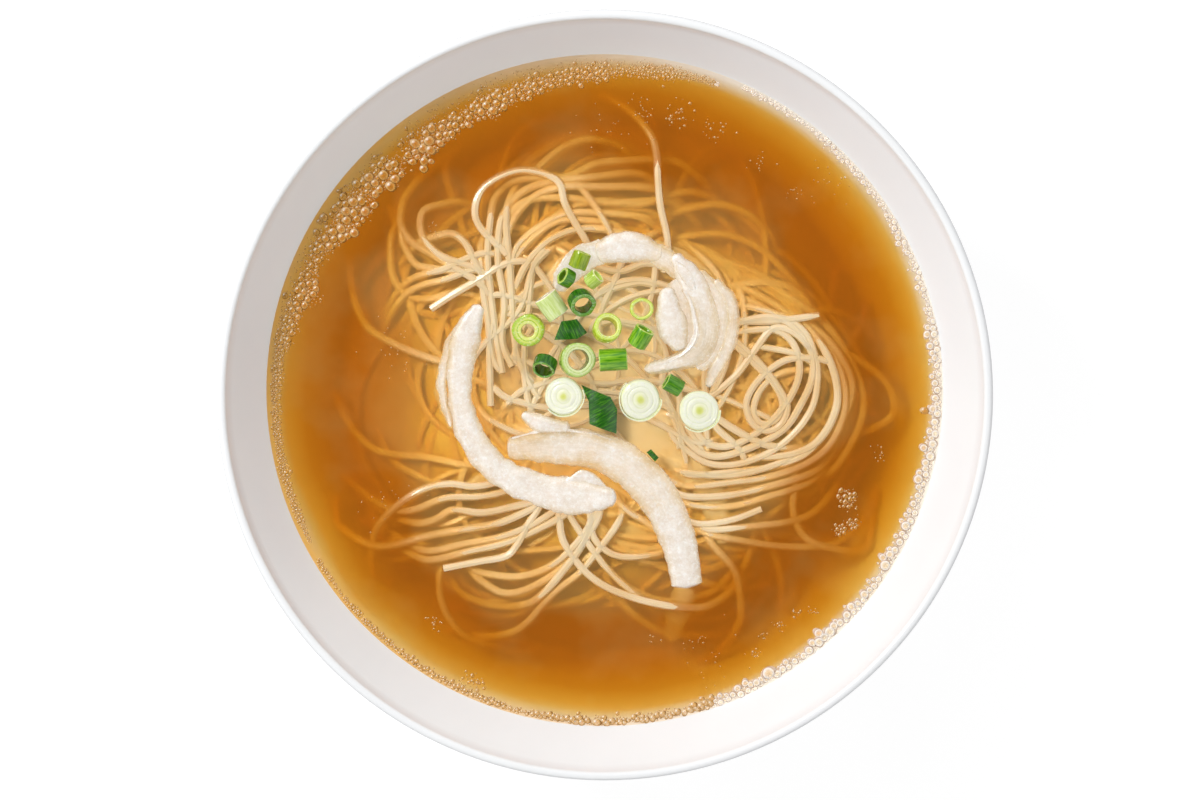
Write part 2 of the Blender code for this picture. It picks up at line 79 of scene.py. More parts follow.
def smoothStep(low, high, value):
    share = min(max((value - low) / (high - low), 0.0), 1.0)
    return share * share * (3 - 2 * share)


def waveAt(*place):
    # soft noise between -1 and 1
    return noise.noise(Vector(place))


def lengthAlong(rows):
    steps = np.linalg.norm(np.diff(rows, axis=0), axis=1)
    return np.concatenate([[0], np.cumsum(steps)])


def smoothPath(points, spacing):
    # even points on a smooth curve through the given ones, in as many dimensions as they have
    rows = [np.array(p, float) for p in points]
    padded = [rows[0] * 2 - rows[1], *rows, rows[-1] * 2 - rows[-2]]
    fine = []
    for a, b, c, d in zip(padded, padded[1:], padded[2:], padded[3:]):
        for t in np.linspace(0, 1, 16, endpoint=False):
            bend = (a * 2 - b * 5 + c * 4 - d) * t**2 + (b * 3 - a - c * 3 + d) * t**3
            fine.append((b * 2 + (c - a) * t + bend) / 2)
    fine = np.array([*fine, rows[-1]])
    reach = lengthAlong(fine)
    count = max(3, int(round(reach[-1] / spacing)) + 1)
    wanted = np.linspace(0, reach[-1], count)
    return np.stack([np.interp(wanted, reach, fine[:, k]) for k in range(fine.shape[1])], axis=1)


def newMaterial(name):
    material = bpy.data.materials.new(name)
    material.use_nodes = True
    tree = material.node_tree
    shader = tree.nodes["Principled BSDF"]
    return material, tree, shader


def addNode(tree, kind, **settings):
    node = tree.nodes.new(kind)
    for key, value in settings.items():
        setattr(node, key, value)
    return node


def link(tree, source, target):
    tree.links.new(source, target)


def objectPlace(tree):
    return addNode(tree, "ShaderNodeTexCoord").outputs["Object"]


def ownPlace(tree, attribute):
    return addNode(tree, "ShaderNodeAttribute", attribute_name=attribute).outputs["Vector"]


def noiseOf(tree, place, scale, detail=3.0, roughness=0.55, stretch=None):
    texture = addNode(tree, "ShaderNodeTexNoise")
    texture.inputs["Scale"].default_value = scale
    texture.inputs["Detail"].default_value = detail
    texture.inputs["Roughness"].default_value = roughness
    if stretch is not None:
        mapping = addNode(tree, "ShaderNodeMapping")
        mapping.inputs["Scale"].default_value = stretch
        link(tree, place, mapping.inputs["Vector"])
        place = mapping.outputs["Vector"]
    link(tree, place, texture.inputs["Vector"])
    return texture.outputs["Fac"]


def ramp(tree, source, stops, interpolation="LINEAR"):
    node = addNode(tree, "ShaderNodeValToRGB")
    band = node.color_ramp
    band.interpolation = interpolation
    while len(band.elements) < len(stops):
        band.elements.new(0.5)
    for element, (place, colour) in zip(band.elements, stops):
        element.position = place
        element.color = (*colour, 1) if len(colour) == 3 else colour
    link(tree, source, node.inputs["Fac"])
    return node.outputs["Color"]


def mapRange(tree, source, low, high, newLow=0.0, newHigh=1.0):
    node = addNode(tree, "ShaderNodeMapRange")
    node.inputs["From Min"].default_value = low
    node.inputs["From Max"].default_value = high
    node.inputs["To Min"].default_value = newLow
    node.inputs["To Max"].default_value = newHigh
    link(tree, source, node.inputs["Value"])
    return node.outputs["Result"]


def mixColour(tree, share, a, b, blend="MIX"):
    node = addNode(tree, "ShaderNodeMix", data_type="RGBA", blend_type=blend)
    for name, value in (("Factor_Float", share), ("A_Color", a), ("B_Color", b)):
        socket = next(s for s in node.inputs if s.identifier == name)
        if isinstance(value, bpy.types.NodeSocket):
            link(tree, value, socket)
        elif isinstance(value, tuple):
            socket.default_value = (*value, 1)
        else:
            socket.default_value = value
    return next(s for s in node.outputs if s.identifier == "Result_Color")


def calculate(tree, operation, a, b=0.0):
    node = addNode(tree, "ShaderNodeMath", operation=operation)
    for socket, value in zip(node.inputs, (a, b)):
        if isinstance(value, bpy.types.NodeSocket):
            link(tree, value, socket)
        else:
            socket.default_value = value
    return node.outputs[0]


def swayed(tree, source, cloud, amount):
    # source moved up and down by a cloudy noise
    return calculate(tree, "ADD", source, mapRange(tree, cloud, 0.3, 0.7, -amount, amount))


def mixShaders(tree, share, first, second):
    node = addNode(tree, "ShaderNodeMixShader")
    for socket, source in zip(node.inputs, (share, first, second)):
        link(tree, source, socket)
    return node.outputs["Shader"]


def addBump(tree, shader, height, strength, distance):
    bump = addNode(tree, "ShaderNodeBump")
    bump.inputs["Strength"].default_value = strength
    bump.inputs["Distance"].default_value = distance
    link(tree, height, bump.inputs["Height"])
    link(tree, bump.outputs["Normal"], shader.inputs["Normal"])


def separate(tree, place):
    node = addNode(tree, "ShaderNodeSeparateXYZ")
    link(tree, place, node.inputs["Vector"])
    return node.outputs


def passShadow(tree, surface):
    # lets the lamps shine through onto what lies below
    output = tree.nodes["Material Output"]
    path = addNode(tree, "ShaderNodeLightPath")
    clear = addNode(tree, "ShaderNodeBsdfTransparent")
    letThrough = mixShaders(tree, path.outputs["Is Shadow Ray"], surface, clear.outputs["BSDF"])
    link(tree, letThrough, output.inputs["Surface"])
    return output


def setInputs(shader, **values):
    for key, value in values.items():
        name = key.replace("_", " ")
        socket = shader.inputs[name]
        isColour = isinstance(value, tuple) and len(socket.default_value) == 4
        socket.default_value = (*value, 1) if isColour else value


view = {
    "aim": (-0.0013, 0.0003, 0.0758),
    "distance": 0.85,
    "tilt": 7.0,  # degrees from straight down, towards the far side
    "lens": 94.4,
}


def makeCamera():
    camera = bpy.data.cameras.new("tableCamera")
    camera.lens = view["lens"]
    camera.sensor_width = 36.0
    camera.clip_start = 0.05
    camera.clip_end = 20.0
    holder = bpy.data.objects.new("tableCamera", camera)
    tilt = math.radians(view["tilt"])
    holder.location = Vector(view["aim"]) + Vector((0, math.sin(tilt), math.cos(tilt))) * view["distance"]
    holder.rotation_euler = (-tilt, 0, 0)
    bpy.context.scene.collection.objects.link(holder)
    bpy.context.scene.camera = holder


light = {
    "keyPlace": (-0.75, 0.62, 0.95),
    "keySize": 0.46,
    "keyPower": 9.0,
    "glintSize": 0.16,  # a smaller lamp in the same place, for the wet highlights
    "glintPower": 1.5,
    "tableGlow": (0.28, 0.80),  # what it sheds on the bowl's outside, and how bright it looks itself
    # brightness of the white tent, from its dim foot over its sides to the small dark opening straight above
    "tent": [(0.0, 0.20), (0.14, 0.45), (0.40, 1.12), (0.80, 0.82), (0.94, 0.22), (1.0, 0.06)],
}


def makeLight():
    world = bpy.data.worlds.new("softTent")
    bpy.context.scene.world = world
    world.use_nodes = True
    tree = world.node_tree
    background = tree.nodes["Background"]
    direction = addNode(tree, "ShaderNodeTexCoord").outputs["Generated"]
    up = separate(tree, direction)["Z"]
    strength = ramp(tree, up, [(place, (value,) * 3) for place, value in light["tent"]])
    link(tree, strength, background.inputs["Strength"])
    background.inputs["Color"].default_value = (1.0, 1.0, 1.0, 1)
    for name in ("key", "glint"):
        lamp = bpy.data.lights.new(name + "Lamp", "AREA")
        lamp.shape = "DISK"
        lamp.size = light[name + "Size"]
        lamp.energy = light[name + "Power"]
        holder = bpy.data.objects.new(name + "Lamp", lamp)
        holder.location = light["keyPlace"]
        aim = Vector((0, 0, 0.05)) - holder.location
        holder.rotation_euler = aim.to_track_quat("-Z", "Y").to_euler()
        bpy.context.scene.collection.objects.link(holder)
    bpy.context.scene.view_settings.view_transform = "Standard"


def makeTable():
    material, tree, shader = newMaterial("paleTable")
    grain = noiseOf(tree, objectPlace(tree), 9.0, 2.0)
    tone = ramp(tree, grain, [(0.3, (0.26, 0.26, 0.26)), (0.7, (0.30, 0.30, 0.30))])
    link(tree, tone, shader.inputs["Base Color"])
    setInputs(shader, Roughness=0.7, Emission_Color=(1.0, 1.0, 1.0))
    path = addNode(tree, "ShaderNodeLightPath")
    glow = mapRange(tree, path.outputs["Is Camera Ray"], 0.0, 1.0, *light["tableGlow"])
    link(tree, glow, shader.inputs["Emission Strength"])
    bm = bmesh.new()
    bmesh.ops.create_grid(bm, x_segments=8, y_segments=8, size=3.0)
    mesh = bpy.data.meshes.new("tableTop")
    bm.to_mesh(mesh)
    bm.free()
    mesh.materials.append(material)
    table = bpy.data.objects.new("tableTop", mesh)
    bpy.context.scene.collection.objects.link(table)


makeCamera()
makeLight()
makeTable()
print("camera, light and table made")


bowl = {
    "floor": 12.0,  # the inside's lowest point
    "belly": (62.0, 12.0),  # these two pull the inner wall's curve out and up
    "shoulder": (80.6, 42.5),
    "lip": 1.3,
    "rimTop": 76.0,
    "wallAtFoot": 5.0,
    "wallAtRim": 3.0,
    "footRadius": 38.0,
    "footWidth": 4.0,
    "footHollow": 5.5,
    "footEdge": 0.8,
    "steps": 180,
}


def innerWall(t, inset=0.0):
    # (radius, height) of the inside, from t = 0 at its floor to 1 under the lip
    ends = np.array([
        (0.0, bowl["floor"]),
        bowl["belly"],
        bowl["shoulder"],
        (rimRadius - 2 * bowl["lip"], bowl["rimTop"] - bowl["lip"]),
    ])
    u = 1 - t
    place = u**3 * ends[0] + 3 * u * u * t * ends[1] + 3 * u * t * t * ends[2] + t**3 * ends[3]
    run = 3 * u * u * (ends[1] - ends[0]) + 6 * u * t * (ends[2] - ends[1]) + 3 * t * t * (ends[3] - ends[2])
    run = run / np.linalg.norm(run)
    moved = place + inset * np.array([-run[1], run[0]])
    return max(float(moved[0]), 0.0), float(moved[1])


def wallShare(height):
    # the t at which the inner wall reaches this height
    low, high = 0.0, 1.0
    for _ in range(40):
        middle = (low + high) / 2
        low, high = (middle, high) if innerWall(middle)[1] < height else (low, middle)
    return low


def arc(centre, radius, start, end, steps):
    angles = [math.radians(start + (end - start) * k / steps) for k in range(steps + 1)]
    return [(centre[0] + radius * math.cos(a), centre[1] + radius * math.sin(a)) for a in angles]


def spinProfile(profile, steps):
    bm = bmesh.new()
    verts = [bm.verts.new((r, 0, z)) for r, z in profile]
    edges = [bm.edges.new(pair) for pair in zip(verts, verts[1:])]
    bmesh.ops.spin(
        bm, geom=verts + edges, cent=(0, 0, 0), axis=(0, 0, 1), angle=turn, steps=steps, use_merge=True
    )
    return bm


def porcelainMaterial():
    material, tree, shader = newMaterial("whitePorcelain")
    place = objectPlace(tree)
    cloud = noiseOf(tree, place, 28.0, 4.0)
    tone = ramp(tree, cloud, [(0.35, (0.856, 0.864, 0.874)), (0.65, (0.880, 0.890, 0.900))])
    height = separate(tree, place)["Z"]
    bare = mapRange(tree, height, 0.0, 0.0009, 1.0, 0.0)  # the ring that stands on the table is unglazed
    link(tree, mixColour(tree, bare, tone, (0.74, 0.70, 0.64)), shader.inputs["Base Color"])
    fine = noiseOf(tree, place, 220.0, 2.0)
    gloss = mapRange(tree, fine, 0.3, 0.7, 0.10, 0.17)
    rough = calculate(tree, "MAXIMUM", gloss, calculate(tree, "MULTIPLY", bare, 0.7))
    link(tree, rough, shader.inputs["Roughness"])
    setInputs(shader, IOR=1.5)
    addBump(tree, shader, noiseOf(tree, place, 60.0, 3.0), 0.06, 0.0006)
    return material


def makeBowl():
    inner = [innerWall(t) for t in np.linspace(0, 1, 48)]
    lipCentre = (rimRadius - bowl["lip"], bowl["rimTop"] - bowl["lip"])
    lip = arc(lipCentre, bowl["lip"], 165, 0, 12)
    outer = []
    for t in np.linspace(0.97, 0.37, 34):
        thickness = bowl["wallAtFoot"] + (bowl["wallAtRim"] - bowl["wallAtFoot"]) * t
        outer.append(innerWall(t, -thickness))
    footOut, hollow, soft = bowl["footRadius"], bowl["footHollow"], bowl["footEdge"]
    footIn = footOut - bowl["footWidth"]
    foot = [(footOut + 1.6, 7.6), (footOut + 0.7, 6.2), (footOut + 0.3, 4.6), (footOut + 0.05, 1.6)]
    foot += arc((footOut - soft, soft), soft, 0, -90, 5)
    foot += arc((footIn + soft, soft), soft, 270, 180, 5)
    foot += [(footIn - 0.3, 3.0), (footIn - 1.2, 4.8), (footIn - 2.6, hollow - 0.1), (20.0, hollow),
             (0.0, hollow)]
    bm = spinProfile(inner + lip + outer + foot, bowl["steps"])
    return finishMesh("porcelainBowl", bm, porcelainMaterial(), 50.0, ["bowl"])


porcelain = makeBowl()
print("bowl made")


heapReach = (70.0, 64.0, 56.0, 63.0, 68.0, 70.0, 62.0, 68.0, 66.0, 66.0, 62.0, 62.0)  # every 30 degrees


def reachAt(angle):
    place = (math.degrees(angle) % 360) / 30
    index = int(place)
    share = smoothStep(0, 1, place - index)
    return heapReach[index % 12] * (1 - share) + heapReach[(index + 1) % 12] * share


broth = {
    "intoWall": 0.35,  # the liquid reaches this far into the porcelain, so that no gap shows
    "meniscusWidth": 2.2,
    "meniscusRise": 0.5,
    "steps": 200,
    "absorbDensity": 160.0,
    "absorbColour": (0.925, 0.755, 0.040),
    # cloudiness at the surface by distance from the wall: share, and its colour
    "haze": [(0.0, 0.10), (1.2, 0.34), (4.0, 0.50), (10.0, 0.58), (18.0, 0.58)],
    "hazeColour": [(0.0, (0.84, 0.62, 0.30)), (2.5, (0.84, 0.47, 0.080)), (5.0, (0.74, 0.30, 0.014)),
                   (10.0, (0.56, 0.175, 0.002)), (18.0, (0.45, 0.130, 0.002))],
    # close to the wall, on the left and on the right: painted light, golden where the wall is shaded on the
    # left and pale where the lit wall shows through on the right
    "sideLitEdgeColour": ((0.86, 0.47, 0.09), (0.94, 0.88, 0.80)),
    "sideLitEdgeHaze": (0.75, 0.62),
    # over the noodles, and over their middle, where the paler and milkier haze is painted light that lifts
    # the shade under the toppings
    "heapAndLitMiddleHaze": (0.12, 0.25),
    "heapAndLitMiddleColour": ((0.82, 0.50, 0.12), (0.92, 0.72, 0.36)),
    "blur": 0.42,  # roughness of the surface seen through, which softens what lies deep
    "heapTint": (0.97, 0.88, 0.66),  # what the surface passes over the noodles
    "openTint": (0.98, 0.93, 0.80),
    # the cloudy lower part of the broth: (radius, height) of its top, and its colour by depth
    "cloudTop": [(0, 58.2), (30, 58.0), (45, 56.8), (56, 53.5), (66, 48.5), (71, 43.5), (74.4, 38.4)],
    "cloudLump": 1.1,
    "cloudColour": [(2.0, (0.92, 0.74, 0.34)), (4.0, (0.86, 0.64, 0.22)), (8.0, (0.58, 0.33, 0.04)),
                    (14.0, (0.66, 0.42, 0.06)), (22.0, (0.90, 0.80, 0.45))],
}


def depthRamp(tree, place, stops):
    # a colour by depth under the surface of the broth, in millimetres
    first, deepest = stops[0][0], stops[-1][0]
    height = separate(tree, place)["Z"]
    depth = mapRange(tree, height, (soupLevel - first) * mm, (soupLevel - deepest) * mm)
    return ramp(tree, depth, [((at - first) / (deepest - first), colour) for at, colour in stops])


def brothMaterial():
    material, tree, shader = newMaterial("clearBroth")
    place = objectPlace(tree)
    # distance from the wall, 1 over the noodles, and 1 over their middle
    pool = separate(tree, ownPlace(tree, "poolPlace"))
    last = broth["haze"][-1][0]
    fromWall = mapRange(tree, swayed(tree, pool["X"], noiseOf(tree, place, 30.0, 3.0), 1.5), 0.0, last)
    overHeap = mapRange(tree, swayed(tree, pool["Y"], noiseOf(tree, place, 45.0, 3.0), 0.2), 0.0, 1.0)
    setInputs(shader, Roughness=broth["blur"], IOR=1.333, Transmission_Weight=1.0)
    setInputs(shader, Coat_Weight=1.0, Coat_Roughness=0.02, Coat_IOR=1.333)
    link(tree, mixColour(tree, overHeap, broth["openTint"], broth["heapTint"]), shader.inputs["Base Color"])
    addBump(tree, shader, noiseOf(tree, place, 38.0, 2.0), 0.12, 0.001)
    cloudy = addNode(tree, "ShaderNodeBsdfDiffuse")
    # left to right across the bowl; near the wall the colour and cloudiness follow it as painted light and
    # shade
    across = mapRange(tree, separate(tree, place)["X"], -0.06, 0.05)
    nearWall = mapRange(tree, pool["X"], 0.5, 4.0, 1.0, 0.0)
    edge = mixColour(tree, across, *broth["sideLitEdgeColour"])
    clearArea = ramp(tree, fromWall, [(at / last, colour) for at, colour in broth["hazeColour"]])
    clearArea = mixColour(tree, nearWall, clearArea, edge)
    # over the noodles' middle the paler colour, and below it the larger share, are painted light
    heap = mixColour(tree, pool["Z"], *broth["heapAndLitMiddleColour"])
    link(tree, mixColour(tree, overHeap, clearArea, heap), cloudy.inputs["Color"])
    share = ramp(tree, fromWall, [(at / last, (value,) * 3) for at, value in broth["haze"]])
    share = mixColour(tree, nearWall, share, mapRange(tree, across, 0.0, 1.0, *broth["sideLitEdgeHaze"]))
    share = mixColour(tree, overHeap, share, mapRange(tree, pool["Z"], 0.0, 1.0, *broth["heapAndLitMiddleHaze"]))
    output = passShadow(tree, mixShaders(tree, share, shader.outputs["BSDF"], cloudy.outputs["BSDF"]))
    absorb = addNode(tree, "ShaderNodeVolumeAbsorption")
    absorb.inputs["Density"].default_value = broth["absorbDensity"]
    absorb.inputs["Color"].default_value = (*broth["absorbColour"], 1)
    link(tree, absorb.outputs["Volume"], output.inputs["Volume"])
    return material


def makeBroth():
    top = wallShare(soupLevel + broth["meniscusRise"])
    wall = [innerWall(t, -broth["intoWall"]) for t in np.linspace(0, top, 40)]
    edgeRadius = innerWall(wallShare(soupLevel))[0]
    surface = []
    for share in np.linspace(0, 1, 9):
        rise = broth["meniscusRise"] * (1 - share) ** 2.4
        surface.append((edgeRadius + 0.45 - share * broth["meniscusWidth"], soupLevel + rise))
    start = surface[-1][0]
    surface += [(start * (1 - k / 30), soupLevel) for k in range(1, 31)]
    bm = spinProfile(wall + surface, broth["steps"])
    poolPlace = bm.verts.layers.float_vector.new("poolPlace")
    for vert in bm.verts:
        x, y, _ = vert.co
        radius = math.hypot(x, y)
        share = radius / reachAt(math.atan2(y, x)) + 0.12 * waveAt(x * 0.05, y * 0.05, 1.3)
        middle = 1 - smoothStep(18.0, 38.0, math.hypot(x, y - 8.0))
        vert[poolPlace] = (edgeRadius - radius, 1 - smoothStep(0.70, 1.08, share), middle)
    return finishMesh("brothPool", bm, brothMaterial(), 50.0, ["broth"])


def cloudMaterial():
    material, tree, shader = newMaterial("cloudyBroth")
    place = objectPlace(tree)
    tone = depthRamp(tree, place, broth["cloudColour"])
    cloud = noiseOf(tree, place, 26.0, 4.0)
    darker = mixColour(tree, 1.0, tone, (0.80, 0.70, 0.60), "MULTIPLY")
    link(tree, mixColour(tree, mapRange(tree, cloud, 0.35, 0.7), darker, tone), shader.inputs["Base Color"])
    setInputs(shader, Roughness=0.9, Specular_IOR_Level=0.0)
    return material


def makeCloud():
    # a closed body from its softly lumpy top down to the bowl's floor
    steps = np.array(broth["cloudTop"], float)
    radii = np.linspace(0, steps[-1][0], 34)
    profile = list(zip(radii, np.interp(radii, steps[:, 0], steps[:, 1])))
    below = [innerWall(t, 0.2) for t in np.linspace(wallShare(profile[-1][1]), 0, 20)]
    bm = spinProfile(profile + below[1:], 120)
    for vert in bm.verts:
        x, y, z = vert.co
        radius = math.hypot(x, y)
        if radius < radii[-2] and z > 30:
            likely = radius * 64.0 / reachAt(math.atan2(y, x))  # its rim follows the heap's
            inner = 1 - smoothStep(56, 71, radius)
            vert.co.z += (np.interp(likely, steps[:, 0], steps[:, 1]) - z) * inner
            lump = waveAt(x * 0.07, y * 0.07, 3.1) + 0.4 * waveAt(x * 0.2, y * 0.2, 7.7)
            vert.co.z += broth["cloudLump"] * lump * smoothStep(radii[-2], 55.0, radius)
    return finishMesh("brothCloud", bm, cloudMaterial(), 180.0)


brothPool = makeBroth()
brothCloud = makeCloud()
print("broth made")


noodle = {
    "radius": 1.07,
    "thinner": 0.07,  # share by which one noodle differs from the next
    "spacing": 1.3,  # distance between the rings of a noodle
    "climb": (1.3, 0.5),  # how far one at the surface, or one under it, may rise over those that it crosses
    "stiffness": 3.0,  # a rise is spread over this length
    "sinkLength": 17.0,  # a noodle whose end isn't cut off at the surface runs on this far as it sinks
    "sinkDepth": 14.0,
    "grid": 0.8,
    "sunkenSpacing": 1.65,  # so many times as far apart on a sunken noodle
    "sunkenReach": 79.0,  # how far out one may run
    "deepened": (1.25, 0.7),  # factor and extra for the depth of one under the surface
    "underSurface": 0.45,  # least depth of a middle line
    "underTopping": 1.35,
    "fromWall": 1.9,
    "seed": 11,
    # sunken noodles: how many follow the routes, how many are loose loops, least and greatest depth,
    # and how far they stray from the routes
    "layers": [(50, 60, 4.6, 8.0, 6.0, 10.0), (90, 60, 2.6, 4.6, 4.0, 7.0)],
    # colour by depth under the surface of the broth
    "colour": [(-1.5, (0.85, 0.71, 0.49)), (0.3, (0.82, 0.62, 0.36)), (1.6, (0.80, 0.56, 0.26)),
               (3.5, (0.80, 0.53, 0.18)), (6.0, (0.77, 0.49, 0.11)), (9.5, (0.66, 0.37, 0.05))],
}

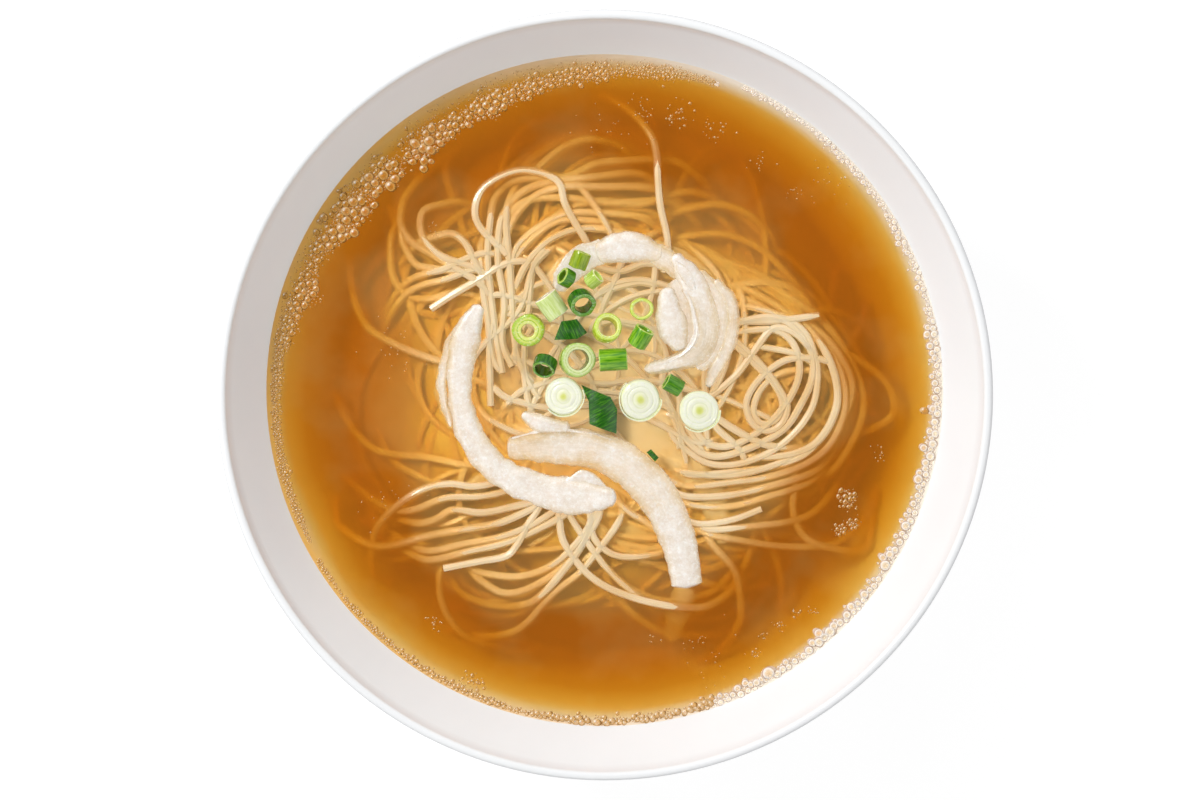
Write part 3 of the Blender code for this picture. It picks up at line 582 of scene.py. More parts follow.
# The routes of the noodles that lie at the surface, seen from above, each with its depth under the
# surface at its start, middle and end. Where an end of one shows, a word says which.
topRoutes = {
    "rightLoops": [
        ([(25, -25.5), (35, -24.5), (45, -23.3), (54, -20.5), (61, -15.5), (65, -8), (66, 0), (64, 8),
          (58, 17), (50, 24)], (0.5, 0.4, 4.0)),
        ([(26, -22.5), (36, -21.6), (46, -20.2), (54, -17.2), (60, -12), (63.6, -4), (64, 4), (61, 12),
          (54, 20)], (0.2, 0.3, 3.0)),
        ([(44, -17.5), (52, -16.5), (58, -13.5), (62.5, -7), (64, 0), (62, 9), (56, 18), (48, 24)],
         (0.6, 0.2, 3.5)),
        ([(22, -15), (28, -19), (36, -19.5), (45, -16.5), (52, -11), (57, -4), (58.5, 3), (58, 10),
          (55, 17), (49, 21), (40, 24)], (-0.4, -0.5, 1.5)),
        ([(20.5, -1), (20.5, -8), (23, -13), (28, -16.8), (34, -17), (42, -14), (50, -9), (54.5, -2),
          (57, 5), (56.5, 12), (52, 18.5), (46, 21), (38, 20)], (-0.6, -0.7, 0.8)),
        ([(24, -9), (28, -13.5), (34, -14.5), (41, -11.5), (47, -6.5), (51.5, 0.5), (53.5, 7), (52, 13.5),
          (47, 17.5), (40, 17.5)], (-0.2, -0.3, 0.8)),
        ([(66, -18), (70, -10), (71.5, -3), (70, 4), (66, 12), (60, 20), (50, 27), (40, 32), (30, 33)],
         (3.0, 2.8, 3.0)),
        ([(52, -19), (60, -12), (67, -4), (68, 4), (63, 13), (56, 19), (47, 22)], (1.5, 1.5, 3.0)),
        ([(30, -6), (36, -10), (44, -14), (52, -15)], (0.0, 0.2, 1.5)),
        ([(30, -0.5), (40, -4), (46, -7), (52, -12)], (0.2, 0.5, 2.0)),
        ([(30, 0), (36, 5), (41, 12), (46, 18), (52, 17), (57, 12)], (-0.3, -0.4, 1.2)),
        ([(44, 13), (54, 10.5), (62, 4)], (0.4, 0.4, 2.5)),
        ([(36, 20), (44, 20), (52, 20.8), (58.7, 21.6)], (0.4, 0.0, 0.6), "end"),
        ([(35, 22), (34, 12), (31, 3)], (0.2, 0.2, 0.2)),
        ([(38, 24), (38.5, 14), (36, 5), (32, -3)], (0.8, 0.5, 0.6)),
        ([(31, 22), (33, 27), (30, 34), (24, 40)], (0.3, 0.8, 3.0)),
        ([(33.5, 16.5), (39, 12), (45, 6), (49, 0), (50.3, -4), (48.5, -8.5), (44.5, -10.2), (40.5, -8),
          (39, -3), (41, 2), (45, 6.5), (50, 9.5), (56, 10)], (-0.8, -0.9, 0.2)),
        ([(35, 14), (41, 8.5), (46.5, 3), (49, -2.5), (47.5, -7), (43, -8), (41, -4), (43.5, 2), (49, 6),
          (57, 6.5)], (0.4, 0.3, 1.6)),
    ],
    "rightFaint": [
        ([(60, 14), (70, 9), (78, 2), (80, -6), (75, -10), (70, -11)], (3.5, 4.5, 5.0)),
        ([(20, 36), (30, 37), (40, 34), (48, 29), (55, 21), (60, 12)], (2.5, 3.0, 4.5)),
        ([(28, 30), (38, 29), (46, 25), (52, 20), (60, 12), (66, 5)], (1.8, 2.0, 4.0)),
        ([(20, 50), (30, 52), (38, 50), (43, 46)], (3.6, 4.0, 6.0)),
        ([(22, 43), (32, 44), (42, 40), (50, 33), (56, 25)], (3.0, 4.0, 6.0)),
        ([(24, 26), (34, 27), (44, 23), (51, 15), (55, 8)], (1.0, 1.6, 3.5)),
    ],
    "hook": [
        ([(-26.7, 38.5), (-33.8, 46), (-35.3, 51.2), (-33.3, 56.3), (-28, 60.0), (-22.4, 61.5), (-16, 60.2),
          (-12.4, 57.7), (-11, 52.6), (-8.4, 47.5), (-4.8, 41.3)], (-0.6, 0.2, -0.5), "start"),
        ([(-17.1, 62.9), (-10.9, 67.9), (-5.2, 69.9), (-0.2, 69.3)], (2.0, 2.5, 4.5)),
        ([(-22, 59), (-10.9, 59.6), (-2.5, 63.2), (6, 64), (16.2, 64.2)], (1.6, 2.0, 3.8)),
        ([(-27, 43), (-24, 50), (-18, 55), (-10, 57), (0, 56.8), (11.7, 56.8)], (0.4, 0.8, 2.2)),
        ([(-26, 32), (-24, 40), (-18, 46), (-8, 50), (8, 49)], (0.2, 0.7, 2.4)),
        ([(-26, 35), (-22, 41), (-16, 46), (-10, 48), (0, 47)], (0.6, 0.8, 2.0)),
        ([(-28, 47), (-22, 53), (-12, 54), (2, 52.5), (14, 53)], (1.0, 1.4, 3.0)),
        ([(-20, 42), (-12, 50), (-2, 53), (10, 52), (20, 55)], (1.4, 1.8, 4.0)),
        ([(-29, 42), (-27.5, 49), (-23, 55), (-16, 58), (-6, 59.5), (6, 60.5)], (1.0, 1.2, 2.8)),
        ([(-23, 33), (-20, 38), (-14, 43), (-6, 45.5), (4, 44.5)], (0.2, 0.6, 1.6)),
        ([(14.2, 66), (14.4, 60), (15.2, 52), (16.8, 44), (17.2, 39), (16.4, 33.6)], (0.8, -0.2, -0.9),
         "end"),
        ([(-5, 55), (0, 48), (2.5, 42)], (1.0, 0.6, 0.8)),
    ],
    "uprights": [
        ([(-31, 50), (-32, 40), (-31.5, 30), (-30, 18), (-28, 6)], (1.2, -0.4, -0.7), "end"),
        ([(-29, 45), (-29, 35), (-27.5, 25), (-28, 15), (-25.3, 8)], (0.8, -0.5, -0.8), "end"),
        ([(-27, 48), (-26, 38), (-25.5, 28), (-25, 18), (-23.6, 10)], (1.0, -0.2, -0.6)),
        ([(-34, 38), (-33.5, 28), (-32, 20), (-31, 12)], (1.0, 0.2, 0.0)),
        ([(-31.5, 15), (-31.5, 4), (-31.3, -3)], (0.4, -0.4, -0.6), "end"),
        ([(-20, 33.5), (-22.5, 25), (-26, 20), (-33, 14)], (-0.4, -0.6, 0.2)),
        ([(-20, 33), (-21, 22), (-24, 14)], (-0.2, -0.2, 0.2)),
        ([(-22, 11), (-21.5, 5), (-17.8, -1)], (-0.6, -0.9, -0.8), "end"),
        ([(-22.3, 9), (-21.5, 0), (-20, -5)], (-0.7, -0.8, -0.4)),
    ],
    "leftHooks": [
        ([(-55.5, 50), (-55.5, 46), (-53, 42), (-48, 39), (-43, 36), (-36, 32)], (3.0, 0.8, -0.2)),
        ([(-45, 52), (-49.5, 50), (-50, 45), (-48, 41), (-44, 38), (-36, 35)], (2.6, 0.6, -0.2)),
        ([(-59, 39), (-58, 32), (-54, 27), (-48, 26), (-42, 27.5)], (3.4, 2.5, 0.8)),
        ([(-47.6, 23.5), (-42, 27), (-35, 31), (-29, 35)], (-0.3, -0.4, -0.4), "start"),
        ([(-54, 39), (-52, 36), (-49.5, 35), (-42, 34), (-35, 34)], (1.6, 0.6, 0.6)),
        ([(-50, 33), (-44, 34.5), (-36, 38)], (1.2, 0.3, 0.0)),
        ([(-50, 30), (-44, 31.5), (-37, 34)], (0.8, 0.4, 0.3)),
        ([(-47, 43), (-42, 44), (-38, 41), (-35, 35)], (1.0, 0.4, 0.2)),
        ([(-62, 16), (-53, 11.5), (-45, 9)], (3.2, 0.6, 0.6)),
        ([(-60, -17), (-50, -18), (-38, -20)], (3.6, 2.4, 1.6)),
    ],
    "centre": [
        ([(1, 23), (8, 27), (17, 28.5), (23, 27)], (-0.9, -1.0, -0.8)),
        ([(5, 37), (2.5, 31), (-0.5, 24)], (-0.9, -1.0, -0.9)),
        ([(5, 31), (11, 31.5), (17, 30)], (-0.5, -0.6, -0.5)),
        ([(-14, 12), (-8, 20), (-2, 27), (6, 30)], (-0.8, -1.0, -0.8)),
        ([(-20, 2), (-10, 4), (0, 3), (12, 4), (24, 1)], (-0.8, -0.8, -0.6)),
        ([(-26, 27), (-16, 24), (-4, 22), (8, 19), (18, 18)], (0.2, -0.6, -0.4)),
        ([(6, 20), (13, 18), (17, 11), (16, 2), (20, -7)], (-0.6, -0.6, -0.4)),
        ([(-4, 36), (4, 34), (12, 36), (20, 33)], (-0.4, -0.6, 0.2)),
        ([(28, 9), (27.5, 2), (30, -8), (36, -14)], (0.0, -0.2, 0.4)),
        ([(-24, -2), (-14, -4), (-2, -3), (10, -6), (22, -12)], (-0.2, -0.6, 0.0)),
        ([(-18, 18), (-10, 12), (-4, 4), (0, -6), (6, -14)], (-0.4, -0.7, 0.0)),
        ([(-30, -8), (-20, -12), (-8, -12), (6, -16), (18, -24)], (0.6, 0.2, 0.6)),
        ([(-18, 34), (-13, 26), (-12, 16), (-15, 6), (-20, -4)], (0.2, 0.3, 0.2)),
        ([(-24, 22), (-12, 20), (0, 14), (10, 6), (18, -4), (22, -16)], (0.4, 0.3, 0.4)),
        ([(14, 34), (12, 24), (6, 14), (-2, 8), (-12, 6), (-24, 10)], (0.3, 0.4, 0.3)),
        ([(-14, 2), (-4, 10), (8, 12), (18, 8), (26, 0), (28, -12)], (0.5, 0.4, 0.5)),
        ([(-8, 36), (0, 24), (4, 12), (2, 0), (-6, -8), (-18, -10)], (0.6, 0.5, 0.4)),
        ([(24, 24), (16, 20), (4, 24), (-8, 30), (-18, 30), (-26, 24)], (0.5, 0.6, 0.6)),
        ([(-16, -6), (-6, 0), (6, 0), (18, -4), (26, -14)], (0.3, 0.2, 0.4)),
        ([(0, 32), (10, 26), (14, 14), (10, 4), (0, -2), (-12, -2)], (0.7, 0.6, 0.6)),
    ],
    "lowLeftFan": [
        ([(-44.8, -48.5), (-35, -46.8), (-27.5, -45.2), (-24.4, -42), (-21, -36), (-18, -31.5)],
         (-0.3, -0.6, -0.5), "start"),
        ([(-61, -34.5), (-56, -30), (-50, -26.5), (-43, -25), (-36, -25.5), (-28, -24)], (2.2, 0.2, 0.0)),
        ([(-60, -42.5), (-50, -40), (-40, -38), (-30, -36), (-22, -33)], (2.8, 0.6, 0.0)),
        ([(-46, -43.5), (-38, -41.5), (-28, -39.5), (-20, -36.5), (-12, -31)], (0.8, 0.2, 0.0)),
        ([(-46, -46), (-36, -43.5), (-26, -41), (-17, -37), (-9, -32)], (1.2, 0.5, 0.2)),
        ([(-47, -35), (-42, -32.5), (-34, -33), (-25, -31), (-16, -29)], (0.8, 0.2, 0.2)),
        ([(-52, -32), (-44, -29), (-35, -28.5), (-27, -27)], (1.0, 0.3, 0.1)),
        ([(-33, -53), (-28, -55.5), (-22, -55), (-15, -51), (-8, -44), (-3, -37)], (1.0, 0.4, 0.0)),
        ([(-32, -50.5), (-24, -51), (-15, -48), (-8, -42), (-3, -34)], (0.9, 0.3, 0.0)),
        ([(-21.5, -64), (-17, -58.5), (-13, -54.5), (-7, -50), (-2, -44), (3, -37)], (1.6, 0.4, 0.2)),
        ([(-17.5, -56), (-12, -50), (-7, -43), (-4, -36)], (0.8, 0.2, 0.2)),
        ([(-12.8, -31), (-12.6, -36), (-11.5, -41.4), (-7, -47.8), (-0.5, -53), (8, -57), (17.8, -59.4),
          (25, -60)], (-0.6, -0.8, 1.4)),
        ([(-10, -33), (-5, -41), (0, -48), (5, -53), (12, -58)], (0.0, 0.2, 1.6)),
        ([(-4, -31), (-3.5, -39), (0, -43.5), (5, -45.5), (12, -45)], (-0.2, 0.0, 0.8)),
        ([(-46, -55), (-45, -60), (-43, -64)], (2.6, 2.0, 3.0)),
        ([(-36, -58), (-28, -60), (-18, -60), (-8, -58)], (4.0, 3.4, 4.5)),
    ],
    "lowRightFan": [
        ([(29, -36), (36, -34.6), (43.3, -32)], (-0.2, -0.4, -0.3), "end"),
        ([(30, -39.5), (38, -41), (48, -42.5), (60, -43)], (0.4, 1.2, 3.0)),
        ([(52.5, -23), (52, -32), (54, -38), (58, -42), (66, -44)], (1.6, 2.0, 4.0)),
        ([(25, -28.5), (35, -28), (45, -26), (56, -22.5)], (0.0, 0.4, 1.8)),
        ([(30, -42), (36, -50), (38, -59)], (0.8, 2.0, 4.0)),
        ([(31, -37.5), (45, -36.5), (54, -35)], (0.2, 0.8, 2.8)),
        ([(26, -31), (36, -31), (46, -28.5), (54, -26)], (0.2, 0.6, 2.2)),
        ([(6, -32), (12, -36), (18, -42), (24, -50)], (0.6, 1.0, 2.4)),
        ([(24, -22), (34, -22.5), (44, -20.8), (53, -17)], (0.4, 0.2, 1.0)),
        ([(2, -50), (8, -55), (16, -58), (26, -57)], (1.2, 2.0, 3.6)),
    ],
}


class HeapLay:
    # lays noodles one after another and keeps the height of what is already there

    def __init__(self):
        self.half = 92.0  # half the side of the square that is kept
        self.count = int(2 * self.half / noodle["grid"]) + 1
        self.top = np.full((self.count, self.count), 45.0)
        span = np.arange(-2, 3) * noodle["grid"]
        dx, dy = np.meshgrid(span, span, indexing="ij")
        near = np.hypot(dx, dy) <= noodle["radius"] + 0.3
        self.offsets = np.stack([dx[near], dy[near]], axis=1)
        self.drop = noodle["radius"] - np.sqrt(
            np.maximum(noodle["radius"] ** 2 - (self.offsets**2).sum(1), 0.0)
        )

    def cells(self, path):
        spots = path[:, None, :2] + self.offsets[None]
        index = np.clip(np.rint((spots + self.half) / noodle["grid"]).astype(int), 0, self.count - 1)
        return index[..., 0], index[..., 1]

    def lay(self, path, low, climb):
        # heights of a noodle's middle line along path, at least low and at most climb over it
        gx, gy = self.cells(path)
        under = (self.top[gx, gy] - self.drop).max(1) + noodle["radius"]
        wanted = np.clip(under, low, low + climb)
        reach = max(1, int(noodle["stiffness"] / noodle["spacing"]))
        padded = np.pad(wanted, reach, mode="edge")
        raised = np.max([padded[k : k + len(wanted)] for k in range(2 * reach + 1)], axis=0)
        padded = np.pad(raised, reach, mode="edge")
        smooth = np.mean([padded[k : k + len(wanted)] for k in range(2 * reach + 1)], axis=0)
        heights = np.maximum(smooth, low)
        np.maximum.at(self.top, (gx, gy), heights[:, None] + noodle["radius"] - self.drop[None])
        return heights


def toppingBottoms():
    # footprint and underside of each topping, so that noodles pass beneath
    found = []
    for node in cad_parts:
        if node.startswith(("onion", "spring")):
            low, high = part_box(node)
            found.append((low.x / mm, low.y / mm, high.x / mm, high.y / mm, low.z / mm))
    return found


bottoms = toppingBottoms()


def ceilingAt(x, y):
    # the highest that a noodle's middle may lie here
    roof = soupLevel - noodle["underSurface"]
    for x0, y0, x1, y1, z in bottoms:
        if x0 - 1 < x < x1 + 1 and y0 - 1 < y < y1 + 1:
            roof = min(roof, z - noodle["underTopping"])
    return roof


def sinkAway(points, backwards):
    # lets a line of (x, y, depth) run on and down out of sight
    points = points[::-1] if backwards else points
    end = points[-1]
    ahead = (end - points[-2])[:2]
    ahead = ahead / np.linalg.norm(ahead)
    side = np.array([-ahead[1], ahead[0]]) * (1 if end[0] * ahead[1] > end[1] * ahead[0] else -1)
    for share in (0.3, 0.65, 1.0):
        spot = end[:2] + (ahead + side * 0.9 * share) * noodle["sinkLength"] * share
        depth = end[2] + (max(noodle["sinkDepth"], end[2]) - end[2]) * share**1.5
        points = np.vstack([points, [*spot, depth]])
    return points[::-1] if backwards else points


def runWidth(draw):
    return noodle["radius"] * (1 + noodle["thinner"] * draw.uniform(-1, 1))


def layTopNoodles(heap, draw):
    runs = []
    for routes in topRoutes.values():
        for route, (first, middle, last), *shown in routes:
            route = np.array(route, float)
            far = lengthAlong(route)
            depth = np.interp(far / far[-1], (0, 0.3, 0.7, 1), (first, middle, middle, last))
            factor, extra = noodle["deepened"]
            depth = np.where(depth > 0, depth * factor + extra, depth)
            points = np.column_stack([route, depth])
            if "start" not in shown:
                points = sinkAway(points, True)
            if "end" not in shown:
                points = sinkAway(points, False)
            line = smoothPath(points, noodle["spacing"])
            wobble = draw.uniform(0, 40)
            sway = np.array([waveAt(wobble, k * 0.09, 0) * 0.45 for k in range(len(line))])
            path = line[:, :2] + np.column_stack([sway, sway[::-1]])
            heights = heap.lay(path, soupLevel - line[:, 2], noodle["climb"][0 if middle < 0 else 1])
            roof = np.array([ceilingAt(x, y) for x, y in path])
            runs.append((np.column_stack([path, np.minimum(heights, roof)]), runWidth(draw)))
    return runs


def looseLoop(draw, depth):
    # part of a tilted oval somewhere in the heap
    centre = Vector((draw.gauss(0, 15), draw.gauss(0, 15)))
    wide, narrow = draw.uniform(22, 44), draw.uniform(12, 34)
    tilt = Matrix.Rotation(draw.uniform(0, turn), 2)
    start, sweep = draw.uniform(0, turn), draw.uniform(2.2, 4.6)
    angles = np.linspace(start, start + sweep, 9)
    return [(*(tilt @ Vector((wide * math.cos(a), narrow * math.sin(a))) + centre), depth) for a in angles]


def strayRoute(draw, routes, stray, twist, depth):
    # one of the routes above, shifted and turned a little
    route = draw.choice(routes)
    shift = Vector((draw.gauss(0, stray), draw.gauss(0, stray)))
    bend = Matrix.Rotation(math.radians(draw.gauss(0, twist)), 2)
    middle = Vector((np.mean([p[0] for p in route]), np.mean([p[1] for p in route])))
    grow = draw.uniform(0.95, 1.2)
    return [(*(bend @ ((Vector(p) - middle) * grow) + middle + shift), depth) for p in route]


def laySunkenNoodles(heap, draw):
    runs = []
    routes = [route for family in topRoutes.values() for route, *_ in family if len(route) > 3]
    for strays, loops, least, most, stray, twist in noodle["layers"]:
        kinds = [True] * strays + [False] * loops
        draw.shuffle(kinds)
        for number, follows in enumerate(kinds):
            depth = most + (least - most) * number / len(kinds)
            moved = strayRoute(draw, routes, stray, twist, depth) if follows else looseLoop(draw, depth)
            moved = sinkAway(sinkAway(np.array(moved), True), False)
            line = smoothPath(moved, noodle["spacing"] * noodle["sunkenSpacing"])
            line = line[np.hypot(line[:, 0], line[:, 1]) < noodle["sunkenReach"]]
            if len(line) < 8:
                continue
            edge = np.array([reachAt(math.atan2(y, x)) for x, y, _ in line])
            share = np.hypot(line[:, 0], line[:, 1]) / edge
            low = soupLevel - line[:, 2] - 22.0 * np.clip(share - 0.72, 0, 1) ** 1.3
            heights = heap.lay(line[:, :2], low, noodle["climb"][1])
            heights = np.minimum(heights, soupLevel - 2.4)
            runs.append((np.column_stack([line[:, :2], heights]), runWidth(draw)))
    return runs


def keepInside(points):
    # draws what would lie in the wall back inside it
    inner = np.array([innerWall(t, noodle["fromWall"]) for t in np.linspace(0, 1, 120)])
    most = np.interp(points[:, 2], inner[:, 1], inner[:, 0])
    far = np.hypot(points[:, 0], points[:, 1])
    points[:, :2] *= np.minimum(1, most / np.maximum(far, 0.01))[:, None]
    return points


def noodleMesh(name, runs, sides):
    # all runs as tubes with cut ends, in one mesh
    curve = bpy.data.curves.new(name, "CURVE")
    curve.dimensions = "3D"
    curve.bevel_depth = noodle["radius"] * mm
    curve.bevel_resolution = sides
    curve.use_fill_caps = True
    for points, radius in runs:
        points = keepInside(points)
        spline = curve.splines.new("POLY")
        spline.points.add(len(points) - 1)
        uneven = [1 + 0.05 * noise.noise(Vector(p) * 0.22) for p in points]
        for place, point, local in zip(spline.points, points, uneven):
            place.co = (*(point * mm), 1)
            place.radius = radius / noodle["radius"] * local
    holder = bpy.data.objects.new(name + "Curve", curve)
    bpy.context.scene.collection.objects.link(holder)
    bpy.context.view_layer.update()
    mesh = bpy.data.meshes.new_from_object(holder.evaluated_get(bpy.context.evaluated_depsgraph_get()))
    bpy.data.objects.remove(holder)
    mesh.name = name
    return mesh


def noodleMaterial():
    material, tree, shader = newMaterial("boiledNoodle")
    place = objectPlace(tree)
    tone = depthRamp(tree, place, noodle["colour"])
    broad = noiseOf(tree, place, 70.0, 2.0)
    dull = mixColour(tree, 1.0, tone, (0.90, 0.77, 0.60), "MULTIPLY")
    link(tree, mixColour(tree, mapRange(tree, broad, 0.35, 0.7), dull, tone), shader.inputs["Base Color"])
    setInputs(shader, Roughness=0.28, IOR=1.38, Subsurface_Weight=0.25, Subsurface_Scale=0.0005)
    shader.inputs["Subsurface Radius"].default_value = (1.0, 0.78, 0.45)
    setInputs(shader, Coat_Weight=0.5, Coat_Roughness=0.08)
    addBump(tree, shader, noiseOf(tree, place, 1500.0, 2.0), 0.12, 0.0002)
    return material


def makeNoodles():
    draw = random.Random(noodle["seed"])
    heap = HeapLay()
    deep = laySunkenNoodles(heap, draw)
    top = layTopNoodles(heap, draw)
    material = noodleMaterial()
    deepPiece = finishObject("noodlesSunken", noodleMesh("noodlesSunken", deep, 1), material, 40.0)
    topPiece = finishObject("noodlesTop", noodleMesh("noodlesTop", top, 2), material, 40.0, ["noodles"])
    print("noodles laid:", len(top), "at the surface,", len(deep), "sunken")


makeNoodles()


onion = {
    "sides": 22,
    "spacing": 1.1,
    "base": 60.9,  # height of a strip's underside
    # route with its height over that base, the width and milkiness along it, and the thickness
    "strips": {
        "onion_strip_left": (
            [(-34.6, 24, 0.2), (-38, 16, 0.3), (-39.6, 6, 0.2), (-39.2, -4, 0.1), (-35.5, -13.5, 0.1),
             (-28, -21.5, 0.2), (-18, -26, 0.4), (-8, -28, 1.2), (2, -28, 2.4)],
            [4.0, 8.4, 6.8, 7.0, 7.8, 8.4, 9.0, 10.2, 5.0],
            [0.95, 0.80, 0.72, 0.76, 0.80, 0.85, 1.0, 1.0, 0.9], 3.3),
        "onion_strip_bottom": (
            [(-26, -14.5, -0.4), (-14, -14.2, 0.1), (-3, -15, 0.4), (7, -20, 0.5), (14.5, -28, 0.5),
             (19, -37, 0.4), (21.5, -45, 0.3), (22.5, -52.5, 0.2)],
            [6.0, 9.6, 10.6, 11.4, 11.2, 10.2, 9.6, 8.6],
            [0.30, 0.40, 0.45, 0.50, 0.60, 0.75, 0.90, 0.95], 3.3),
        "onion_strip_top": (
            [(-1.4, 39.2, 0.2), (3, 40.4, 0.3), (9, 40.6, 0.1), (14.8, 38.8, -0.5)],
            [6.2, 8.2, 8.2, 5.0],
            [0.60, 0.95, 0.75, 0.20], 3.0),
        "onion_strip_right": (
            [(19.4, 38, 0.4), (23, 32.5, 0.7), (26.4, 26, 0.6), (28, 19, 0.5), (26.2, 12.6, 0.4),
             (20, 9.2, 0.4), (12, 7.4, 0.4)],
            [3.4, 6.8, 7.0, 7.0, 6.8, 5.0, 3.0],
            [0.90, 0.95, 0.60, 0.42, 0.38, 0.55, 0.50], 3.2),
        "onion_strip_edge": (
            [(30.7, 31, -0.4), (34.2, 26, -0.2), (35.2, 20, -0.2), (33.6, 13, 0.0), (30.4, 7.4, 0.1),
             (28.6, 3.2, 0.1)],
            [2.4, 3.6, 4.0, 4.0, 3.8, 3.0],
            [0.30, 0.35, 0.30, 0.30, 0.35, 0.25], 2.6),
        "onion_chunk": (
            [(17.0, 28.6, 0.5), (17.6, 23, 0.6), (18.8, 18, 0.6), (20.6, 13.4, 0.3)],
            [4.0, 7.6, 8.2, 4.6],
            [0.85, 0.90, 0.80, 0.55], 3.4),
        "onion_lump": (
            [(-21.8, -5.6, 0.3), (-17, -8.0, 0.6), (-10.6, -8.8, 0.3)],
            [3.0, 4.6, 3.0],
            [0.60, 0.75, 0.50], 3.2),
    },
    # share of light that passes through each
    "clearness": {
        "onion_strip_left": 0.5, "onion_strip_bottom": 0.55, "onion_strip_top": 0.6,
        "onion_strip_right": 0.55, "onion_strip_edge": 0.6, "onion_chunk": 0.5, "onion_lump": 0.55,
    },
    # thin layers folded over or beside a strip, given like the strips
    "folds": {
        "onion_strip_left": [
            ([(-12.5, -24.8, 2.8), (-8.5, -23.4, 3.3), (-5.4, -21.9, 3.5), (-2.4, -24.0, 3.3),
              (1.6, -27.2, 2.9)],
             [1.0, 3.0, 3.4, 3.0, 1.4], [1.0, 1.0, 1.0, 0.9, 0.8], 0.7),
            ([(-36.6, 21.0, 2.6), (-39.6, 15.0, 2.7), (-41.3, 8.0, 2.6)],
             [0.9, 1.4, 0.9], [0.5, 0.4, 0.4], 0.5),
            ([(-39.4, 20.0, 0.6), (-43.2, 12.0, 0.5), (-44.8, 2.0, 0.4), (-42.6, -8.0, 0.3)],
             [2.0, 2.8, 2.8, 1.6], [0.4, 0.35, 0.35, 0.3], 0.6),
        ],
        "onion_strip_bottom": [
            ([(-24.6, -11.4, 2.0), (-16, -9.6, 2.6), (-6, -10.0, 2.7), (2, -12.0, 2.6)],
             [0.8, 1.0, 1.0, 0.7], [0.9, 0.9, 0.9, 0.9], 0.5),
        ],
        "onion_strip_top": [
            ([(-12.5, 29.5, 1.2), (-9.8, 34.0, 1.3), (-5.0, 38.0, 1.4), (-0.6, 39.8, 1.6)],
             [4.0, 7.0, 7.6, 6.6], [0.7, 0.9, 0.9, 0.9], 0.7),
            ([(14.0, 39.0, 1.4), (18.0, 36.4, 1.4), (21.0, 33.0, 1.4)],
             [6.0, 6.0, 4.0], [0.4, 0.4, 0.4], 0.7),
        ],
        "onion_strip_right": [
            ([(22.4, 28.4, 3.0), (24.4, 22.0, 3.1), (24.6, 16.0, 3.1), (21.2, 11.6, 3.0), (15.4, 8.8, 2.8)],
             [0.9, 1.6, 1.8, 1.6, 0.9], [1.0, 0.9, 0.9, 0.9, 0.9], 0.5),
            ([(19.8, 36.4, 3.2), (22.0, 33.4, 3.5), (24.0, 30.0, 3.3)],
             [1.2, 3.4, 1.6], [1.0, 1.0, 1.0], 0.7),
            ([(19.4, 31.0, 1.4), (22.0, 24.0, 1.5), (23.4, 17.0, 1.5), (23.0, 11.0, 1.4)],
             [5.0, 8.0, 8.0, 5.0], [0.4, 0.35, 0.35, 0.4], 0.7),
            ([(26.0, 33.0, 1.0), (30.6, 27.0, 1.2), (31.8, 20.0, 1.2), (30.0, 13.0, 1.2), (26.0, 8.0, 1.0)],
             [4.0, 6.0, 6.6, 6.0, 4.0], [0.3, 0.3, 0.3, 0.3, 0.3], 0.7),
        ],
    },
    # pieces that lie sunk in the broth: the third number is their depth
    "sunken": [
        ([(-15, 16, 0.4), (-7, 22, 0.35), (2, 23, 0.35), (10, 19, 0.4)], [5.0, 9.0, 9.0, 6.0], 1.2),
        ([(-18, 4, 0.4), (-8, 5, 0.35), (2, 4.5, 0.35), (13, 6, 0.4)], [5.0, 8.0, 8.0, 5.0], 1.2),
        ([(-14, -3, 0.4), (-4, -6, 0.35), (8, -7, 0.35), (19, -9, 0.5)], [6.0, 9.0, 10.0, 7.0], 1.4),
        ([(-6, 12, 0.6), (4, 13, 0.5), (15, 12, 0.5)], [5.0, 8.0, 6.0], 1.2),
        ([(21, -13, 0.6), (26, -22, 0.7), (30, -30, 0.7), (33, -41, 0.9)], [6.0, 7.5, 8.0, 4.0], 1.6),
        ([(22.4, -54.5, 1.4), (20.5, -61, 2.6), (18.4, -69, 5.0)], [6.0, 7.0, 4.0], 2.0),
        ([(2.5, -37, 2.2), (8, -38.6, 2.0), (15, -38, 2.2)], [4.0, 6.6, 5.0], 2.4),
        ([(-40, -29, 2.4), (-36, -26.5, 1.6), (-31, -23, 1.4)], [4.0, 6.0, 5.0], 2.0),
        ([(-38.5, 19, 0.5), (-43.4, 10, 0.6), (-45, 0, 0.8), (-42.4, -9, 1.2)], [2.0, 3.4, 3.4, 2.2], 1.4),
        ([(-2, -12, 0.5), (9, -13, 0.5), (19, -17, 0.6), (24, -24, 0.8)], [6.0, 9.0, 9.0, 5.0], 1.6),
        ([(-15, 28, 0.4), (-11, 33, 0.35), (-4, 37, 0.35), (2, 40, 0.4)], [6.0, 8.5, 8.5, 7.0], 1.2),
        ([(13, 40, 0.4), (20, 36, 0.35), (26, 30, 0.35), (31, 22, 0.35), (30, 12, 0.4), (24, 6, 0.5)],
         [6.0, 8.0, 9.0, 8.0, 8.0, 4.0], 1.2),
        ([(20, 30, 0.4), (22, 22, 0.35), (23, 15, 0.4)], [5.0, 8.0, 6.0], 1.2),
    ],
    "sunkenMilk": 0.25,
}


def stripSection(width, thickness):
    # the outline of a strip cut across, flatter below and softly crowned above
    points = []
    for k in range(onion["sides"]):
        a = turn * (k + 0.5) / onion["sides"]
        across = math.copysign(abs(math.cos(a)) ** 0.75, math.cos(a))
        up = math.copysign(abs(math.sin(a)) ** 0.85, math.sin(a))
        points.append((across * width / 2, (up + 1) * thickness / 2, across))
    return points


